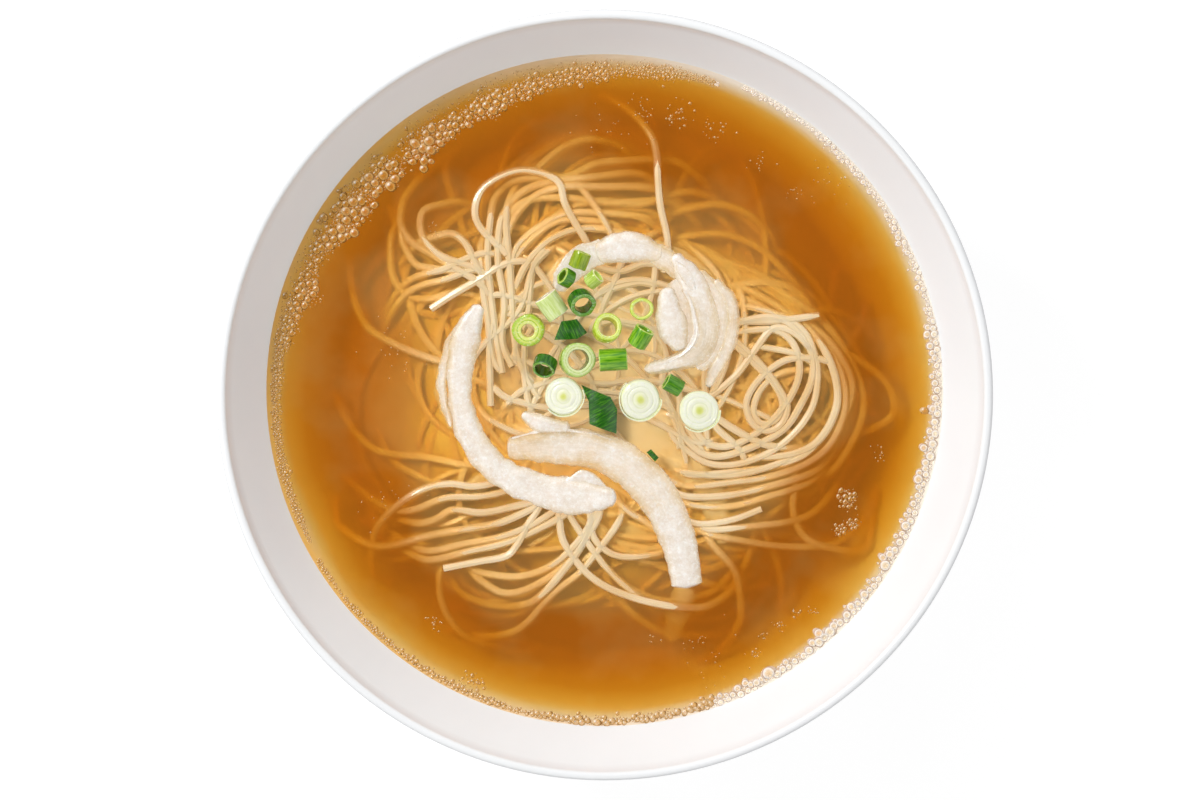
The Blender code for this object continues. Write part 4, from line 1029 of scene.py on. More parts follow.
def sweepStrip(bm, grain, seed, route, widths, milk, thickness, floor):
    # one face drawn along the route, ring after ring
    rows = [(*point, width, white) for point, width, white in zip(route, widths, milk)]
    line = smoothPath(rows, onion["spacing"])
    count = len(line)
    circle = bmesh.ops.create_circle(bm, cap_ends=True, radius=1, segments=onion["sides"])["verts"]
    cap = circle[0].link_faces[0]
    ends = {-3: (0.25, -1.0), -2: (0.62, -0.75), -1: (0.86, -0.4)}
    for i in range(-3, count + 3):
        here = min(max(i, 0), count - 1)
        x, y, lift, width, white = line[here]
        ahead = line[min(here + 1, count - 1)] - line[max(here - 1, 0)]
        side = Vector((-ahead[1], ahead[0], 0)).normalized()
        forward = Vector((ahead[0], ahead[1], 0)).normalized()
        narrow, push = ends.get(i, (1.0, 0.0))
        if i >= count:
            narrow, push = ends[count - i - 1]
            push = -push
        push *= 1 + 0.5 * waveAt(seed, i * 0.3, 4.0)
        along = here * onion["spacing"]
        section = stripSection(width * narrow, thickness * (0.35 + 0.65 * narrow))
        if i > -3:
            cap = bmesh.ops.extrude_face_region(bm, geom=[cap])["geom"]
            cap = [piece for piece in cap if isinstance(piece, bmesh.types.BMFace)][0]
        for vert, (across, up, share) in zip(cap.verts, section):
            flank = 1 if share > 0 else -1
            wave = waveAt(along * 0.30, seed, flank) + 0.5 * waveAt(along * 1.1, seed, flank)
            across += flank * share * share * 0.55 * wave
            crest = 1 - share * share
            swell = 0.30 * waveAt(along * 0.22, share * 1.6, seed)
            swell += 0.28 * math.exp(-((share - 0.42) / 0.16) ** 2)  # a ridge, and a furrow beside it
            swell -= 0.22 * math.exp(-((share - 0.12) / 0.2) ** 2)
            up = up + swell * (up / thickness) * (0.3 + 0.7 * crest)
            up += (1 - narrow) * thickness * 0.3
            spot = Vector((x, y, floor + lift)) + side * across + forward * push
            vert.co = spot + Vector((0, 0, up))
            vert[grain] = (share, along * 0.1, white)


def makeStrip(name, parts, floor, material, replaced=()):
    bm = bmesh.new()
    grain = bm.verts.layers.float_vector.new("grain")
    for number, (route, widths, milk, thickness) in enumerate(parts):
        seed = sum(ord(letter) for letter in name) * 0.37 + number * 5.3
        sweepStrip(bm, grain, seed, route, widths, milk, thickness, floor)
    return finishMesh(name, bm, material, 70.0, replaced)


def onionMaterial(name, clearness, sunk):
    material, tree, shader = newMaterial(name)
    place = objectPlace(tree)
    grain = ownPlace(tree, "grain")
    parts = separate(tree, grain)
    across = calculate(tree, "ABSOLUTE", parts["X"])
    broad = noiseOf(tree, place, 110.0, 3.0, 0.6)
    patch = noiseOf(tree, place, 340.0, 3.0, 0.65)
    fibre = noiseOf(tree, grain, 4.0, 3.0, 0.6, (2.2, 0.5, 0.3))
    speckAndGlint = noiseOf(tree, place, 1100.0, 3.0, 0.75)
    clear = ramp(tree, broad, [(0.3, (0.71, 0.53, 0.27)), (0.6, (0.79, 0.66, 0.45))])
    white = ramp(tree, patch, [(0.30, (0.73, 0.61, 0.48)), (0.46, (0.79, 0.69, 0.58)),
                               (0.64, (0.87, 0.80, 0.71))])
    milky = calculate(tree, "ADD", parts["Z"], mapRange(tree, broad, 0.3, 0.7, -0.22, 0.20))
    milky = swayed(tree, milky, fibre, 0.08)
    milky = calculate(tree, "SUBTRACT", milky, mapRange(tree, across, 0.5, 1.0, 0.0, 0.60))
    tone = mixColour(tree, mapRange(tree, milky, 0.10, 0.75), clear, white)
    tone = mixColour(tree, mapRange(tree, across, 0.8, 0.1, 0.0, 0.35), tone, (0.96, 0.92, 0.88))
    # the white specks are painted sparkle highlights; the darker ones below are the onion's own cell texture
    tone = mixColour(tree, mapRange(tree, speckAndGlint, 0.52, 0.70, 0.0, 0.70), tone, (0.99, 0.97, 0.94))
    tone = mixColour(tree, mapRange(tree, speckAndGlint, 0.45, 0.34, 0.0, 0.18), tone, (0.76, 0.60, 0.44))
    rind = mixColour(tree, mapRange(tree, speckAndGlint, 0.44, 0.54), (0.55, 0.33, 0.16), (0.92, 0.84, 0.70))
    edge = mapRange(tree, swayed(tree, across, broad, 0.05), 0.93, 1.0)
    tone = mixColour(tree, calculate(tree, "MULTIPLY", edge, 0.70), tone, rind)
    if sunk:
        tone = mixColour(tree, 1.0, tone, (0.96, 0.86, 0.66), "MULTIPLY")
        depth = mapRange(tree, separate(tree, place)["Z"], (soupLevel - 1) * mm, (soupLevel - 8) * mm)
        tone = mixColour(tree, depth, tone, (0.68, 0.40, 0.06))
    link(tree, tone, shader.inputs["Base Color"])
    link(tree, mapRange(tree, speckAndGlint, 0.3, 0.7, 0.18, 0.40), shader.inputs["Roughness"])
    link(tree, mapRange(tree, milky, 0.0, 0.7, 1.0 - clearness, 1.0), shader.inputs["Alpha"])
    setInputs(shader, IOR=1.4, Subsurface_Weight=0.2, Subsurface_Scale=0.0005)
    setInputs(shader, Coat_Weight=1.0, Coat_Roughness=0.08)
    shader.inputs["Subsurface Radius"].default_value = (1.0, 0.82, 0.62)
    ripple = mixColour(tree, 0.40, mixColour(tree, 0.25, speckAndGlint, fibre), patch)
    addBump(tree, shader, ripple, 0.5, 0.0005)
    passShadow(tree, shader.outputs["BSDF"])
    return material


def makeOnion():
    materials = {share: onionMaterial(f"onionFlesh{number}", share, False)
                 for number, share in enumerate(sorted(set(onion["clearness"].values())))}
    sunkMaterial = onionMaterial("sunkenOnion", 0.45, True)
    for node, part in onion["strips"].items():
        parts = [part, *onion["folds"].get(node, [])]
        piece = makeStrip(node + "Cut", parts, onion["base"], materials[onion["clearness"][node]], [node])
    for number, (route, widths, thickness) in enumerate(onion["sunken"]):
        lowered = [(x, y, -depth - thickness) for x, y, depth in route]
        part = (lowered, widths, [onion["sunkenMilk"]] * len(route), thickness)
        piece = makeStrip(f"sunkenOnion{number}", [part], soupLevel, sunkMaterial)
    print("onion strips made:", len(onion["strips"]), "on top,", len(onion["sunken"]), "sunken")


makeOnion()


springOnion = {
    "segments": 72,
    "stemLooks": ("stem", "lime", "thick", "glass"),
    # outer and inner radius, length, lean and turn in degrees, and look
    "rings": {
        "spring_onion_01": (2.6, 1.9, 4.6, 90, -110, "olive"),
        "spring_onion_02": (2.6, 1.6, 3.0, 66, 150, "leaf"),
        "spring_onion_03": (2.3, 1.5, 3.6, 75, 40, "pale"),
        "spring_onion_04": (3.7, 2.4, 3.2, 34, -60, "dark"),
        "spring_onion_05": (3.4, 1.0, 6.6, 88, 125, "stem"),
        "spring_onion_06": (4.4, 1.8, 3.4, 6, 200, "lime"),
        "spring_onion_08": (4.8, 2.8, 3.2, 17, 20, "thick"),
        "spring_onion_09": (3.3, 2.4, 3.4, 48, 250, "dark"),
        "spring_onion_10": (3.9, 2.6, 3.4, 24, 60, "glass"),
        "spring_onion_11": (3.2, 2.4, 7.6, 90, 4, "bright"),
        "spring_onion_12": (3.1, 2.2, 2.8, 5, 0, "glass"),
        "spring_onion_13": (2.9, 2.0, 5.2, 80, 60, "bright"),
        "spring_onion_17": (2.5, 1.7, 4.8, 85, 150, "leaf"),
    },
    # skin, its lighter streaks, cut end from its inside outwards, and the hollow
    "looks": {
        "olive": ((0.19, 0.30, 0.004), (0.36, 0.48, 0.02), [(0.50, 0.60, 0.10), (0.62, 0.70, 0.16)],
                  (0.12, 0.20, 0.004)),
        "leaf": ((0.030, 0.17, 0.002), (0.13, 0.34, 0.010), [(0.30, 0.48, 0.05), (0.42, 0.58, 0.08)],
                 (0.10, 0.20, 0.006)),
        "pale": ((0.34, 0.50, 0.04), (0.58, 0.70, 0.16), [(0.76, 0.82, 0.36), (0.84, 0.88, 0.50)],
                 (0.42, 0.56, 0.08)),
        "dark": ((0.008, 0.080, 0.002), (0.05, 0.22, 0.008), [(0.10, 0.30, 0.02), (0.22, 0.42, 0.04)],
                 (0.03, 0.05, 0.002)),
        "stem": ((0.54, 0.66, 0.20), (0.72, 0.80, 0.42), [(0.88, 0.90, 0.72), (0.93, 0.93, 0.86)],
                 (0.56, 0.66, 0.20)),
        "lime": ((0.28, 0.42, 0.006), (0.44, 0.56, 0.02), [(0.70, 0.74, 0.20), (0.32, 0.50, 0.008)],
                 (0.56, 0.52, 0.12)),
        "thick": ((0.18, 0.34, 0.02), (0.40, 0.56, 0.10), [(0.72, 0.78, 0.40), (0.44, 0.60, 0.14)],
                  (0.012, 0.07, 0.002)),
        "glass": ((0.42, 0.58, 0.01), (0.64, 0.74, 0.10), [(0.74, 0.80, 0.22), (0.46, 0.62, 0.03)],
                  (0.54, 0.60, 0.08)),
        "bright": ((0.06, 0.25, 0.001), (0.28, 0.54, 0.02), [(0.44, 0.64, 0.10), (0.54, 0.70, 0.14)],
                   (0.12, 0.26, 0.006)),
    },
    # closed rounds of the white stem: radius, length, lean, turn, and where a loose skin starts and ends
    "rounds": {
        "spring_onion_14": (5.1, 3.6, 5, 160, (60, 220)),
        "spring_onion_16": (5.4, 3.8, 4, -60, (190, 420)),
        "spring_onion_18": (5.4, 3.8, 6, 30, (200, 330)),
    },
    # corners of a flat piece of leaf, its thickness, bow, and the way that its veins run
    "leaves": {
        "spring_onion_07": ([(-4.4, -2.6), (-2.4, 2.6), (1.8, 3.2), (4.6, -0.6), (2.0, -2.2)], 1.2, 1.1, 25),
        "spring_onion_15": ([(-5.2, 6.0), (2.8, 2.8), (4.6, -0.6), (4.4, -7.4), (-3.0, -4.6), (-3.2, 1.6)],
                            1.2, 1.2, -60),
    },
    # a scrap of leaf that lies on the lower strip of onion: where, its turn, and the rest like a leaf
    "scrap": ((13.2, -16.4, 63.9), -48, ([(-1.7, -0.7), (-1.5, 0.8), (1.6, 0.8), (1.8, -0.7)], 0.7, 0.1, 0)),
}


def springMaterial(look, skin, streak, cut, hollow):
    material, tree, shader = newMaterial("springOnion" + look.capitalize())
    place = ownPlace(tree, "cutPlace")  # share of the way out, height from -1 to 1, turn round it
    parts = separate(tree, place)
    out, height = parts["X"], parts["Y"]
    lines = noiseOf(tree, place, 3.0, 3.0, 0.6, (0.6, 0.25, 14.0))
    outside = mixColour(tree, mapRange(tree, lines, 0.38, 0.66), skin, streak)
    inner = mixColour(tree, mapRange(tree, lines, 0.4, 0.7, 0.0, 0.5), hollow, streak)
    walls = mixColour(tree, mapRange(tree, out, 0.03, 0.30), inner, outside)
    bands = zip((0.0, 0.30, 0.42, 0.52, 0.86, 1.0), (cut[0], cut[0], cut[1], cut[0], cut[1], streak))
    layered = ramp(tree, out, list(bands))
    grainy = noiseOf(tree, objectPlace(tree), 1600.0, 2.0)
    layered = mixColour(tree, mapRange(tree, grainy, 0.5, 0.7, 0.0, 0.35), layered, (0.90, 0.92, 0.74))
    isCut = mapRange(tree, calculate(tree, "ABSOLUTE", height), 0.93, 0.985)
    link(tree, mixColour(tree, isCut, walls, layered), shader.inputs["Base Color"])
    setInputs(shader, Roughness=0.20, Specular_IOR_Level=0.15, Coat_Weight=1.0, Coat_Roughness=0.07)
    setInputs(shader, Subsurface_Weight=0.25, Subsurface_Scale=0.0007)
    shader.inputs["Subsurface Radius"].default_value = (0.9, 1.0, 0.3)
    addBump(tree, shader, lines, 0.35, 0.0003)
    passShadow(tree, shader.outputs["BSDF"])
    return material


def layDown(bm, node, lean, turned):
    # turns a piece built about the origin and moves it to where its solid lies
    low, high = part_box(node)
    spin = Euler((0, math.radians(lean), math.radians(turned))).to_matrix()
    bmesh.ops.rotate(bm, cent=(0, 0, 0), matrix=spin, verts=bm.verts)
    bmesh.ops.translate(bm, vec=(low + high) / 2 / mm, verts=bm.verts)


def roughen(bm, layer, seed, amount, oval):
    for vert in bm.verts:
        x, y, z = vert.co
        angle = math.atan2(y, x)
        wave = waveAt(math.cos(angle) * 1.3, math.sin(angle) * 1.3, seed + z * 0.12)
        vert.co.x *= (1 + amount * wave) * oval
        vert.co.y *= (1 + amount * wave) / oval
        vert.co.z += 0.18 * waveAt(x * 0.5, y * 0.5, seed) * (1 if z > 0 else -1)
        vert[layer][2] = (angle / turn) % 1.0


def spinCut(bm, layer, profile, places, closed):
    # turns a profile round the axis; places says where each point of it lies in the cut
    verts = [bm.verts.new((r, 0, z)) for r, z in profile]
    for vert, place in zip(verts, places):
        vert[layer] = (*place, 0)
    following = verts[1:] + verts[:1] if closed else verts[1:]
    edges = [bm.edges.new(pair) for pair in zip(verts, following)]
    bmesh.ops.spin(bm, geom=verts + edges, cent=(0, 0, 0), axis=(0, 0, 1), angle=turn,
                   steps=springOnion["segments"], use_merge=True)


def makeRing(node, size, materials):
    outer, inner, length, lean, turned, look = size
    half, soft = length / 2, 0.28
    profile = [(inner + soft * 0.5, -half), (inner, -half + soft * 0.6)]
    profile += [(inner, z) for z in np.linspace(-half * 0.6, half * 0.6, 5)]
    profile += [(inner, half - soft * 0.6), (inner + soft * 0.5, half)]
    profile += [(r, half + 0.06) for r in np.linspace(inner + 0.3, outer - 0.35, 5)]
    profile += arc((outer - soft, half - soft), soft, 80, 10, 3)
    profile += [(outer + 0.05 * math.cos(z), z) for z in np.linspace(half * 0.6, -half * 0.6, 5)]
    profile += arc((outer - soft, -half + soft), soft, -10, -80, 3)
    profile += [(r, -half - 0.06) for r in np.linspace(outer - 0.35, inner + 0.3, 5)]
    bm = bmesh.new()
    layer = bm.verts.layers.float_vector.new("cutPlace")
    spinCut(bm, layer, profile, [((r - inner) / (outer - inner), z / half) for r, z in profile], True)
    roughen(bm, layer, float(node[-2:]), 0.07, 1.03)
    layDown(bm, node, lean, turned)
    return finishMesh(node + "Cut", bm, materials[look], 55.0, [node])


def roundMaterial():
    material, tree, shader = newMaterial("springOnionHeart")
    place = ownPlace(tree, "cutPlace")
    parts = separate(tree, place)
    wobble = swayed(tree, parts["X"], noiseOf(tree, objectPlace(tree), 260.0, 2.0), 0.04)
    face = ramp(tree, wobble, [
        (0.0, (0.62, 0.66, 0.13)), (0.13, (0.70, 0.72, 0.24)), (0.22, (0.78, 0.79, 0.48)),
        (0.34, (0.83, 0.83, 0.64)), (0.39, (0.75, 0.77, 0.52)), (0.44, (0.83, 0.83, 0.66)),
        (0.62, (0.84, 0.84, 0.70)), (0.66, (0.77, 0.79, 0.58)), (0.72, (0.85, 0.85, 0.72)),
        (0.90, (0.82, 0.83, 0.66)), (1.0, (0.72, 0.74, 0.48)),
    ])
    rays = noiseOf(tree, place, 3.0, 2.0, 0.5, (0.5, 0.5, 22.0))
    face = mixColour(tree, mapRange(tree, rays, 0.55, 0.75, 0.0, 0.3), face, (0.74, 0.78, 0.50))
    side = mixColour(tree, mapRange(tree, rays, 0.35, 0.7), (0.76, 0.80, 0.52), (0.86, 0.88, 0.68))
    isTop = mapRange(tree, parts["Y"], 0.55, 0.85)
    link(tree, mixColour(tree, isTop, side, face), shader.inputs["Base Color"])
    setInputs(shader, Roughness=0.22, Specular_IOR_Level=0.35, Coat_Weight=0.5, Coat_Roughness=0.04)
    setInputs(shader, Subsurface_Weight=0.3, Subsurface_Scale=0.0010)
    shader.inputs["Subsurface Radius"].default_value = (1.0, 1.0, 0.6)
    addBump(tree, shader, rays, 0.2, 0.0003)
    passShadow(tree, shader.outputs["BSDF"])
    return material


def makeRound(node, size, material):
    radius, length, lean, turned, (skinStart, skinEnd) = size
    half = length / 2
    profile = [(0.0, -half), (radius - 0.5, -half), (radius - 0.1, -half + 0.4), (radius, -half + 0.9),
               (radius, 0.0)]
    profile += arc((radius - 0.5, half - 0.75), 0.5, 0, 80, 4)
    for groove in (radius * 0.84, radius * 0.66):
        profile += [(groove + 0.2, half - 0.12), (groove, half - 0.20), (groove - 0.2, half - 0.08)]
    heart = [(0.52, 0.0), (0.42, -0.02), (0.38, -0.10), (0.33, 0.02), (0.22, 0.12), (0.1, 0.18), (0.0, 0.2)]
    profile += [(radius * share, half + rise) for share, rise in heart]
    bm = bmesh.new()
    layer = bm.verts.layers.float_vector.new("cutPlace")
    spinCut(bm, layer, profile, [(r / radius, z / half) for r, z in profile], False)
    # the loose skin, drawn round part of the way
    sweep = math.radians(skinEnd - skinStart)
    corners = [(0.12, -half + 0.6), (0.5, -half + 0.6), (0.62, half - 0.5), (0.30, half - 0.5)]
    ring = [bm.verts.new((radius + out, 0, z)) for out, z in corners]
    for vert in ring:
        vert[layer] = (1.0, 0.0, 0)
    face = bm.faces.new(ring)
    bmesh.ops.rotate(bm, cent=(0, 0, 0), matrix=Matrix.Rotation(math.radians(skinStart), 3, "Z"), verts=ring)
    bmesh.ops.spin(bm, geom=[face], cent=(0, 0, 0), axis=(0, 0, 1), angle=sweep, steps=40)
    roughen(bm, layer, float(node[-2:]), 0.05, 1.0)
    layDown(bm, node, lean, turned)
    return finishMesh(node + "Cut", bm, material, 50.0, [node])


def leafMaterial():
    material, tree, shader = newMaterial("springOnionLeaf")
    place = ownPlace(tree, "leafPlace")
    veins = noiseOf(tree, place, 2.2, 3.0, 0.6, (1.0, 0.12, 1.0))
    tone = ramp(tree, veins, [(0.30, (0.004, 0.050, 0.001)), (0.5, (0.014, 0.110, 0.002)),
                              (0.68, (0.08, 0.28, 0.01))])
    link(tree, tone, shader.inputs["Base Color"])
    setInputs(shader, Roughness=0.20, Specular_IOR_Level=0.15, Coat_Weight=1.0, Coat_Roughness=0.07)
    setInputs(shader, Subsurface_Weight=0.12, Subsurface_Scale=0.0005)
    addBump(tree, shader, veins, 0.6, 0.0004)
    return material


def leafPlate(size):
    corners, thickness, bow, veinAngle = size
    bm = bmesh.new()
    layer = bm.verts.layers.float_vector.new("leafPlace")
    face = bm.faces.new([bm.verts.new((x, y, 0)) for x, y in corners])
    if face.normal.z < 0:
        face.normal_flip()
    bmesh.ops.triangulate(bm, faces=bm.faces)
    bmesh.ops.subdivide_edges(bm, edges=bm.edges, cuts=9, use_grid_fill=True)
    veinTurn = Matrix.Rotation(math.radians(-veinAngle), 2)
    for vert in bm.verts:
        x, y, _ = vert.co
        vert[layer] = (*(veinTurn @ Vector((x, y))), 0)
        vert.co.z = bow * (1 - (x / 4.5) ** 2) + 0.2 * math.sin(y) + 0.12 * waveAt(x, y, 3.0)
    bmesh.ops.solidify(bm, geom=bm.faces, thickness=thickness * 0.8)
    low = Vector([min(v.co[k] for v in bm.verts) for k in range(3)])
    high = Vector([max(v.co[k] for v in bm.verts) for k in range(3)])
    bmesh.ops.translate(bm, vec=-(low + high) / 2, verts=bm.verts)
    return bm


def makeLeaf(node, size, material):
    bm = leafPlate(size)
    layDown(bm, node, 0, 0)
    return finishMesh(node + "Cut", bm, material, 55.0, [node])


def makeScrap(material):
    place, turned, size = springOnion["scrap"]
    bm = leafPlate(size)
    bmesh.ops.rotate(bm, cent=(0, 0, 0), matrix=Matrix.Rotation(math.radians(turned), 3, "Z"), verts=bm.verts)
    bmesh.ops.translate(bm, vec=place, verts=bm.verts)
    return finishMesh("leafScrap", bm, material, 55.0)


def makeSpringOnion():
    materials = {look: springMaterial(look, *colours) for look, colours in springOnion["looks"].items()}
    white = roundMaterial()
    leaf = leafMaterial()
    for node, size in springOnion["rings"].items():
        piece = makeRing(node, size, materials)
    for node, size in springOnion["rounds"].items():
        piece = makeRound(node, size, white)
    for node, size in springOnion["leaves"].items():
        piece = makeLeaf(node, size, leaf)
    makeScrap(leaf)
    print("spring onion cuts made:", sum(len(springOnion[kind]) for kind in ("rings", "rounds", "leaves")))


makeSpringOnion()


froth = {
    "seed": 21,
    "flat": 0.72,  # height of a bubble for its width
    "reach": 92.9,  # how far out the liquid goes
    "leastLoose": 0.14,
    # the pale ones are painted light from the lit white wall beside them
    "litPaleFrom": (30, 88.5),  # right of this, and further out than this, they are pale
    "overlap": {"upper": 0.74, "upperFine": 0.8, "right": 0.62},
    # bands along the wall: points of (angle, radius, half width, greatest bubble), the least bubble, how many
    # are tried for, and how steeply small ones outnumber large ones
    "bands": {
        "upper": ([(70, 90.4, 0.7, 0.4), (80, 89.4, 1.5, 0.5), (90, 88.2, 2.0, 0.7), (103, 86.6, 2.3, 0.9),
                   (110, 85.6, 2.5, 1.0), (119, 84.6, 2.8, 1.2), (130, 84.4, 4.0, 1.5), (137, 85.4, 3.5, 1.4),
                   (142, 86, 3.2, 1.2), (148, 85.8, 3.6, 1.4), (154, 87.8, 2.6, 1.0), (161, 86.6, 2.8, 1.0),
                   (165, 88.4, 2.3, 0.9), (175, 90.3, 1.6, 0.6), (190, 91.0, 1.2, 0.5),
                   (207, 91.3, 0.8, 0.4)],
                  0.18, 13000, 3.0),
        "upperFine": ([(76, 91.2, 1.0, 0.22), (100, 89.6, 2.4, 0.26), (130, 89.0, 3.0, 0.3),
                       (150, 89.6, 2.6, 0.3), (175, 91.4, 1.0, 0.22)], 0.13, 900, 1.5),
        "right": ([(66, 92.0, 0.6, 0.6), (40, 92.0, 0.9, 0.8), (15, 91.8, 1.3, 1.0), (0, 91.4, 1.6, 1.2),
                   (-8, 91.2, 1.8, 1.3), (-15, 91.2, 1.7, 1.3), (-24, 91.5, 1.5, 1.2), (-38, 91.6, 1.5, 1.3),
                   (-50, 91.6, 1.5, 1.4), (-60, 91.2, 1.6, 1.3), (-75, 91.7, 1.3, 1.0), (-90, 91.9, 1.2, 1.1),
                   (-104, 91.9, 1.1, 0.8), (-125, 91.9, 0.9, 0.6), (-150, 91.9, 0.7, 0.5)], 0.2, 7000, 1.2),
    },
    # single large ones: angle, radius, and their own radius
    "large": [(-15.2, 89.6, 1.5), (-23.7, 90.8, 1.5), (-31.5, 91.0, 1.7), (-37.8, 91.0, 1.4),
              (-39.8, 91.2, 1.2), (-44.3, 91.2, 1.2), (-46.7, 91.0, 1.7), (-49.3, 91.2, 1.5),
              (-51.6, 91.3, 1.4), (-59.7, 90.2, 2.0), (-62.4, 91.0, 1.2), (135.6, 81.6, 1.5),
              (137.5, 83.2, 1.1), (-93, 91.6, 0.9), (-95.6, 91.6, 1.0), (-98.2, 91.6, 0.9),
              (-90.2, 91.6, 0.8), (-6.5, 90.0, 1.1)],
    # groups away from the wall: place, spread, how many are tried for, greatest bubble
    "groups": [(67, -29, 2.4, 150, 0.75), (65.3, -37.6, 1.6, 90, 0.6), (68.6, -36, 1.5, 80, 0.6),
               (48.5, -65, 1.4, 14, 0.4), (53, -61, 1.6, 12, 0.4), (58, -60.5, 1.6, 12, 0.35),
               (44, -67, 1.6, 10, 0.35), (41.5, -72, 2.0, 12, 0.4), (27, -68.5, 2.0, 9, 0.35),
               (14, -68.5, 2.0, 9, 0.3), (-47, -64, 3.0, 16, 0.4), (-36.7, -81, 3.2, 60, 0.6),
               (10, 78, 3.4, 26, 0.4), (20, 76, 4.0, 34, 0.45), (31, 72, 3.6, 24, 0.4),
               (43, 64, 3.2, 16, 0.35), (52, 55, 2.6, 10, 0.3), (-46, 46, 3.0, 10, 0.3),
               (76, -16, 3.0, 14, 0.3), (60, 60, 8.0, 22, 0.3), (-62, -30, 9.0, 20, 0.25),
               (-58, 12, 9.0, 20, 0.25), (30, -74, 9.0, 20, 0.25), (0, 72, 10.0, 20, 0.25)],
}


def placeBubbles(tries, taken, overlap=0.86):
    # largest first; one that would cut far into another is left out
    kept = []
    for x, y, r in sorted(tries, key=lambda bubble: -bubble[2]):
        around = taken.get((int(x // 4), int(y // 4)), [])
        if any(math.hypot(x2 - x, y2 - y) < overlap * (r2 + r) for x2, y2, r2 in around):
            continue
        kept.append((x, y, r))
        for i in (-1, 0, 1):
            for j in (-1, 0, 1):
                taken.setdefault((int(x // 4) + i, int(y // 4) + j), []).append((x, y, r))
    return kept


def bandTries(draw, points, least, amount, steep):
    angles = [math.radians(p[0]) for p in points]
    if angles[-1] < angles[0]:
        angles, points = angles[::-1], points[::-1]
    rows = np.array(points, float)
    tries = []
    for _ in range(amount):
        angle = draw.uniform(angles[0], angles[-1])
        radius, half, most = (np.interp(angle, angles, rows[:, k]) for k in (1, 2, 3))
        patch = waveAt(angle * 9, 2.0, 0)
        out = radius + draw.gauss(0, 0.5) * half * (1 + 0.6 * patch)
        size = least + (most * (1 + 0.5 * patch) - least) * draw.random() ** (steep * 2)
        if draw.random() < 0.75 + 0.8 * patch and out < froth["reach"] - size * 0.6:
            tries.append((out * math.cos(angle), out * math.sin(angle), max(size, least)))
    return tries


def bubbleMaterial():
    # clear in the middle; round its foot a painted bright ring and dark outline, painted light on the side
    # towards the lamp and a painted highlight
    material, tree, shader = newMaterial("brothBubble")
    # across and along as shares of its radius, and its own tone
    own = separate(tree, ownPlace(tree, "bubblePlace"))

    def squareFrom(x, y):
        parts = [calculate(tree, "POWER", calculate(tree, "SUBTRACT", *pair), 2.0)
                 for pair in ((own["X"], x), (own["Y"], y))]
        return calculate(tree, "ADD", *parts)

    out = calculate(tree, "SQRT", squareFrom(0.0, 0.0))
    # towards the lamp at the upper left
    towards = calculate(tree, "SUBTRACT", own["Y"], own["X"])
    setInputs(shader, Base_Color=(1.0, 0.94, 0.82), Roughness=0.04, IOR=1.3, Transmission_Weight=1.0)
    # the ring near 0.76 is painted light and the outline past 0.86 painted shade
    foot = ramp(tree, out, [(0.0, (0.46, 0.20, 0.02)), (0.40, (0.54, 0.27, 0.05)), (0.60, (0.58, 0.32, 0.08)),
                            (0.76, (0.66, 0.40, 0.13)), (0.86, (0.26, 0.11, 0.015)),
                            (1.0, (0.30, 0.13, 0.02))])
    # painted light on the side that faces the lamp
    lit = mapRange(tree, towards, 0.35, 1.0)
    foot = mixColour(tree, calculate(tree, "MULTIPLY", lit, 0.6), foot, (0.92, 0.74, 0.48))
    # a painted highlight at the upper left
    glint = mapRange(tree, squareFrom(-0.38, 0.38), 0.03, 0.09, 1.0, 0.0)
    foot = mixColour(tree, glint, foot, (1.0, 0.97, 0.90))
    foot = mixColour(tree, mapRange(tree, own["Z"], 0.4, 1.0, 0.0, 0.30), foot, (0.72, 0.48, 0.25))
    # pale bubbles: a bright painted ring from the lit wall and a dark painted outline
    pale = ramp(tree, out, [(0.0, (0.84, 0.72, 0.56)), (0.45, (0.95, 0.90, 0.82)), (0.72, (0.98, 0.96, 0.93)),
                            (0.84, (0.52, 0.36, 0.26)), (1.0, (0.72, 0.58, 0.46))])
    foot = mixColour(tree, mapRange(tree, own["Z"], 1.5, 2.0), foot, pale)
    cloudy = addNode(tree, "ShaderNodeBsdfDiffuse")
    link(tree, foot, cloudy.inputs["Color"])
    cloudiness = [(0.0, 0.25), (0.45, 0.40), (0.66, 0.75), (0.88, 0.90)]
    share = ramp(tree, out, [(place, (value,) * 3) for place, value in cloudiness])
    passShadow(tree, mixShaders(tree, share, shader.outputs["BSDF"], cloudy.outputs["BSDF"]))
    return material


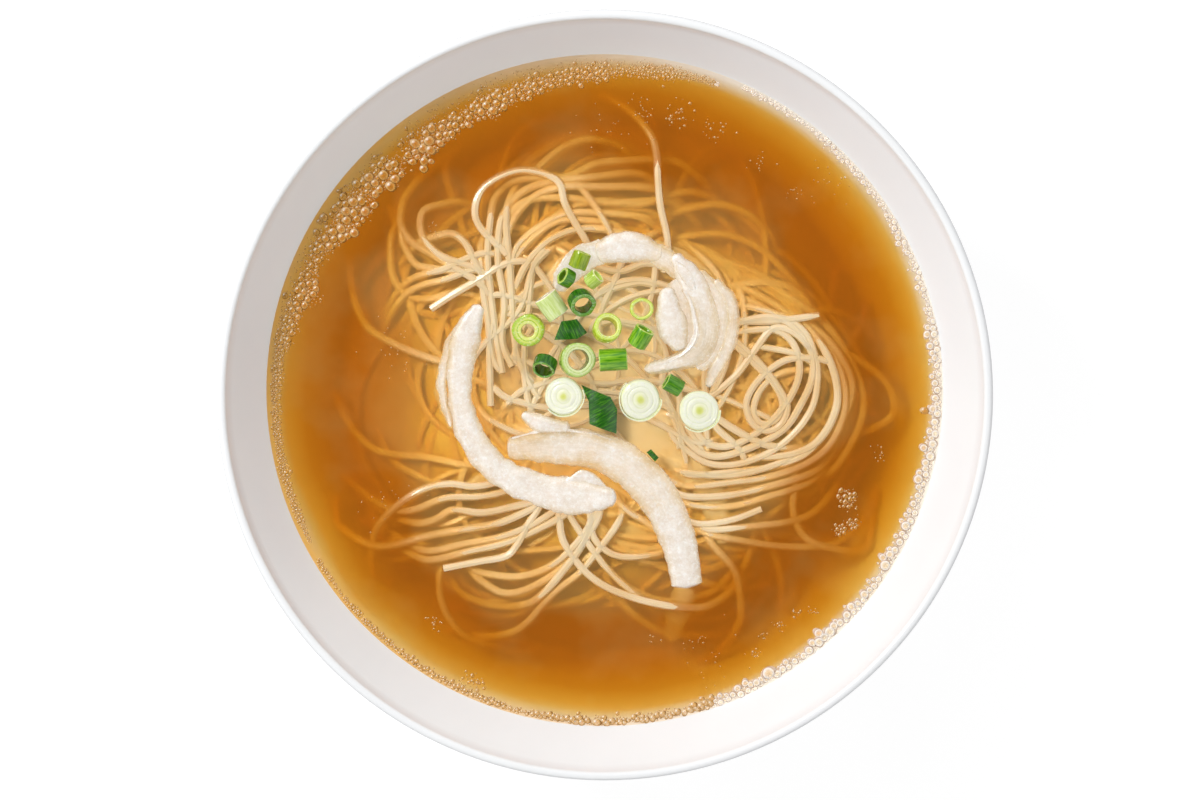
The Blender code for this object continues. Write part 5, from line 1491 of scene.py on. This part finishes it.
def bubbleMesh(name, bubbles, material):
    # made in lots of fifty, which are then gathered
    whole = bmesh.new()
    whole.verts.layers.float_vector.new("bubblePlace")
    for first in range(0, len(bubbles), 50):
        bm = bmesh.new()
        layer = bm.verts.layers.float_vector.new("bubblePlace")
        for x, y, r in bubbles[first : first + 50]:
            long = 1 + 0.28 * ((x * 5.1 + y * 9.7) % 1.0)
            lift = Matrix.Translation((x, y, soupLevel + r * 0.12)) @ Matrix.Rotation(x * 40 + y * 70, 4, "Z")
            lift = lift @ Matrix.Diagonal((r * long, r / long, r * froth["flat"], 1))
            fine = 2 if r < 0.7 else 3
            made = bmesh.ops.create_icosphere(bm, subdivisions=fine, radius=1.0, matrix=lift)["verts"]
            # on the lit right-hand side, bubbles take the pale painted-light colouring
            isLitPale = x > froth["litPaleFrom"][0] and math.hypot(x, y) > froth["litPaleFrom"][1]
            tone = 2.0 if isLitPale else (x * 7.3 + y * 3.1) % 1.0
            for vert in made:
                vert[layer] = ((vert.co.x - x) / r, (vert.co.y - y) / r, tone)
        lot = bpy.data.meshes.new("lot")
        bm.to_mesh(lot)
        bm.free()
        whole.from_mesh(lot)
        bpy.data.meshes.remove(lot)
    return finishMesh(name, whole, material, 180.0, recalc=False)


def makeFroth():
    draw = random.Random(froth["seed"])
    material = bubbleMaterial()
    taken = {}
    large = []
    for angle, out, size in froth["large"]:
        angle = math.radians(angle)
        large.append((out * math.cos(angle), out * math.sin(angle), size))
    pieces = {"largeBubbles": placeBubbles(large, taken)}
    for name, band in froth["bands"].items():
        pieces[name + "Froth"] = placeBubbles(bandTries(draw, *band), taken, froth["overlap"][name])
    loose = []
    least = froth["leastLoose"]
    for x, y, spread, amount, most in froth["groups"]:
        for _ in range(amount):
            spot = (x + draw.gauss(0, spread * 0.5), y + draw.gauss(0, spread * 0.5))
            if math.hypot(*spot) < froth["reach"] - 0.6:
                loose.append((*spot, least + (most - least) * draw.random() ** 2.2))
    pieces["looseBubbles"] = placeBubbles(loose, taken)
    for name, bubbles in pieces.items():
        piece = bubbleMesh(name, bubbles, material)
        print(name, len(bubbles))


makeFroth()
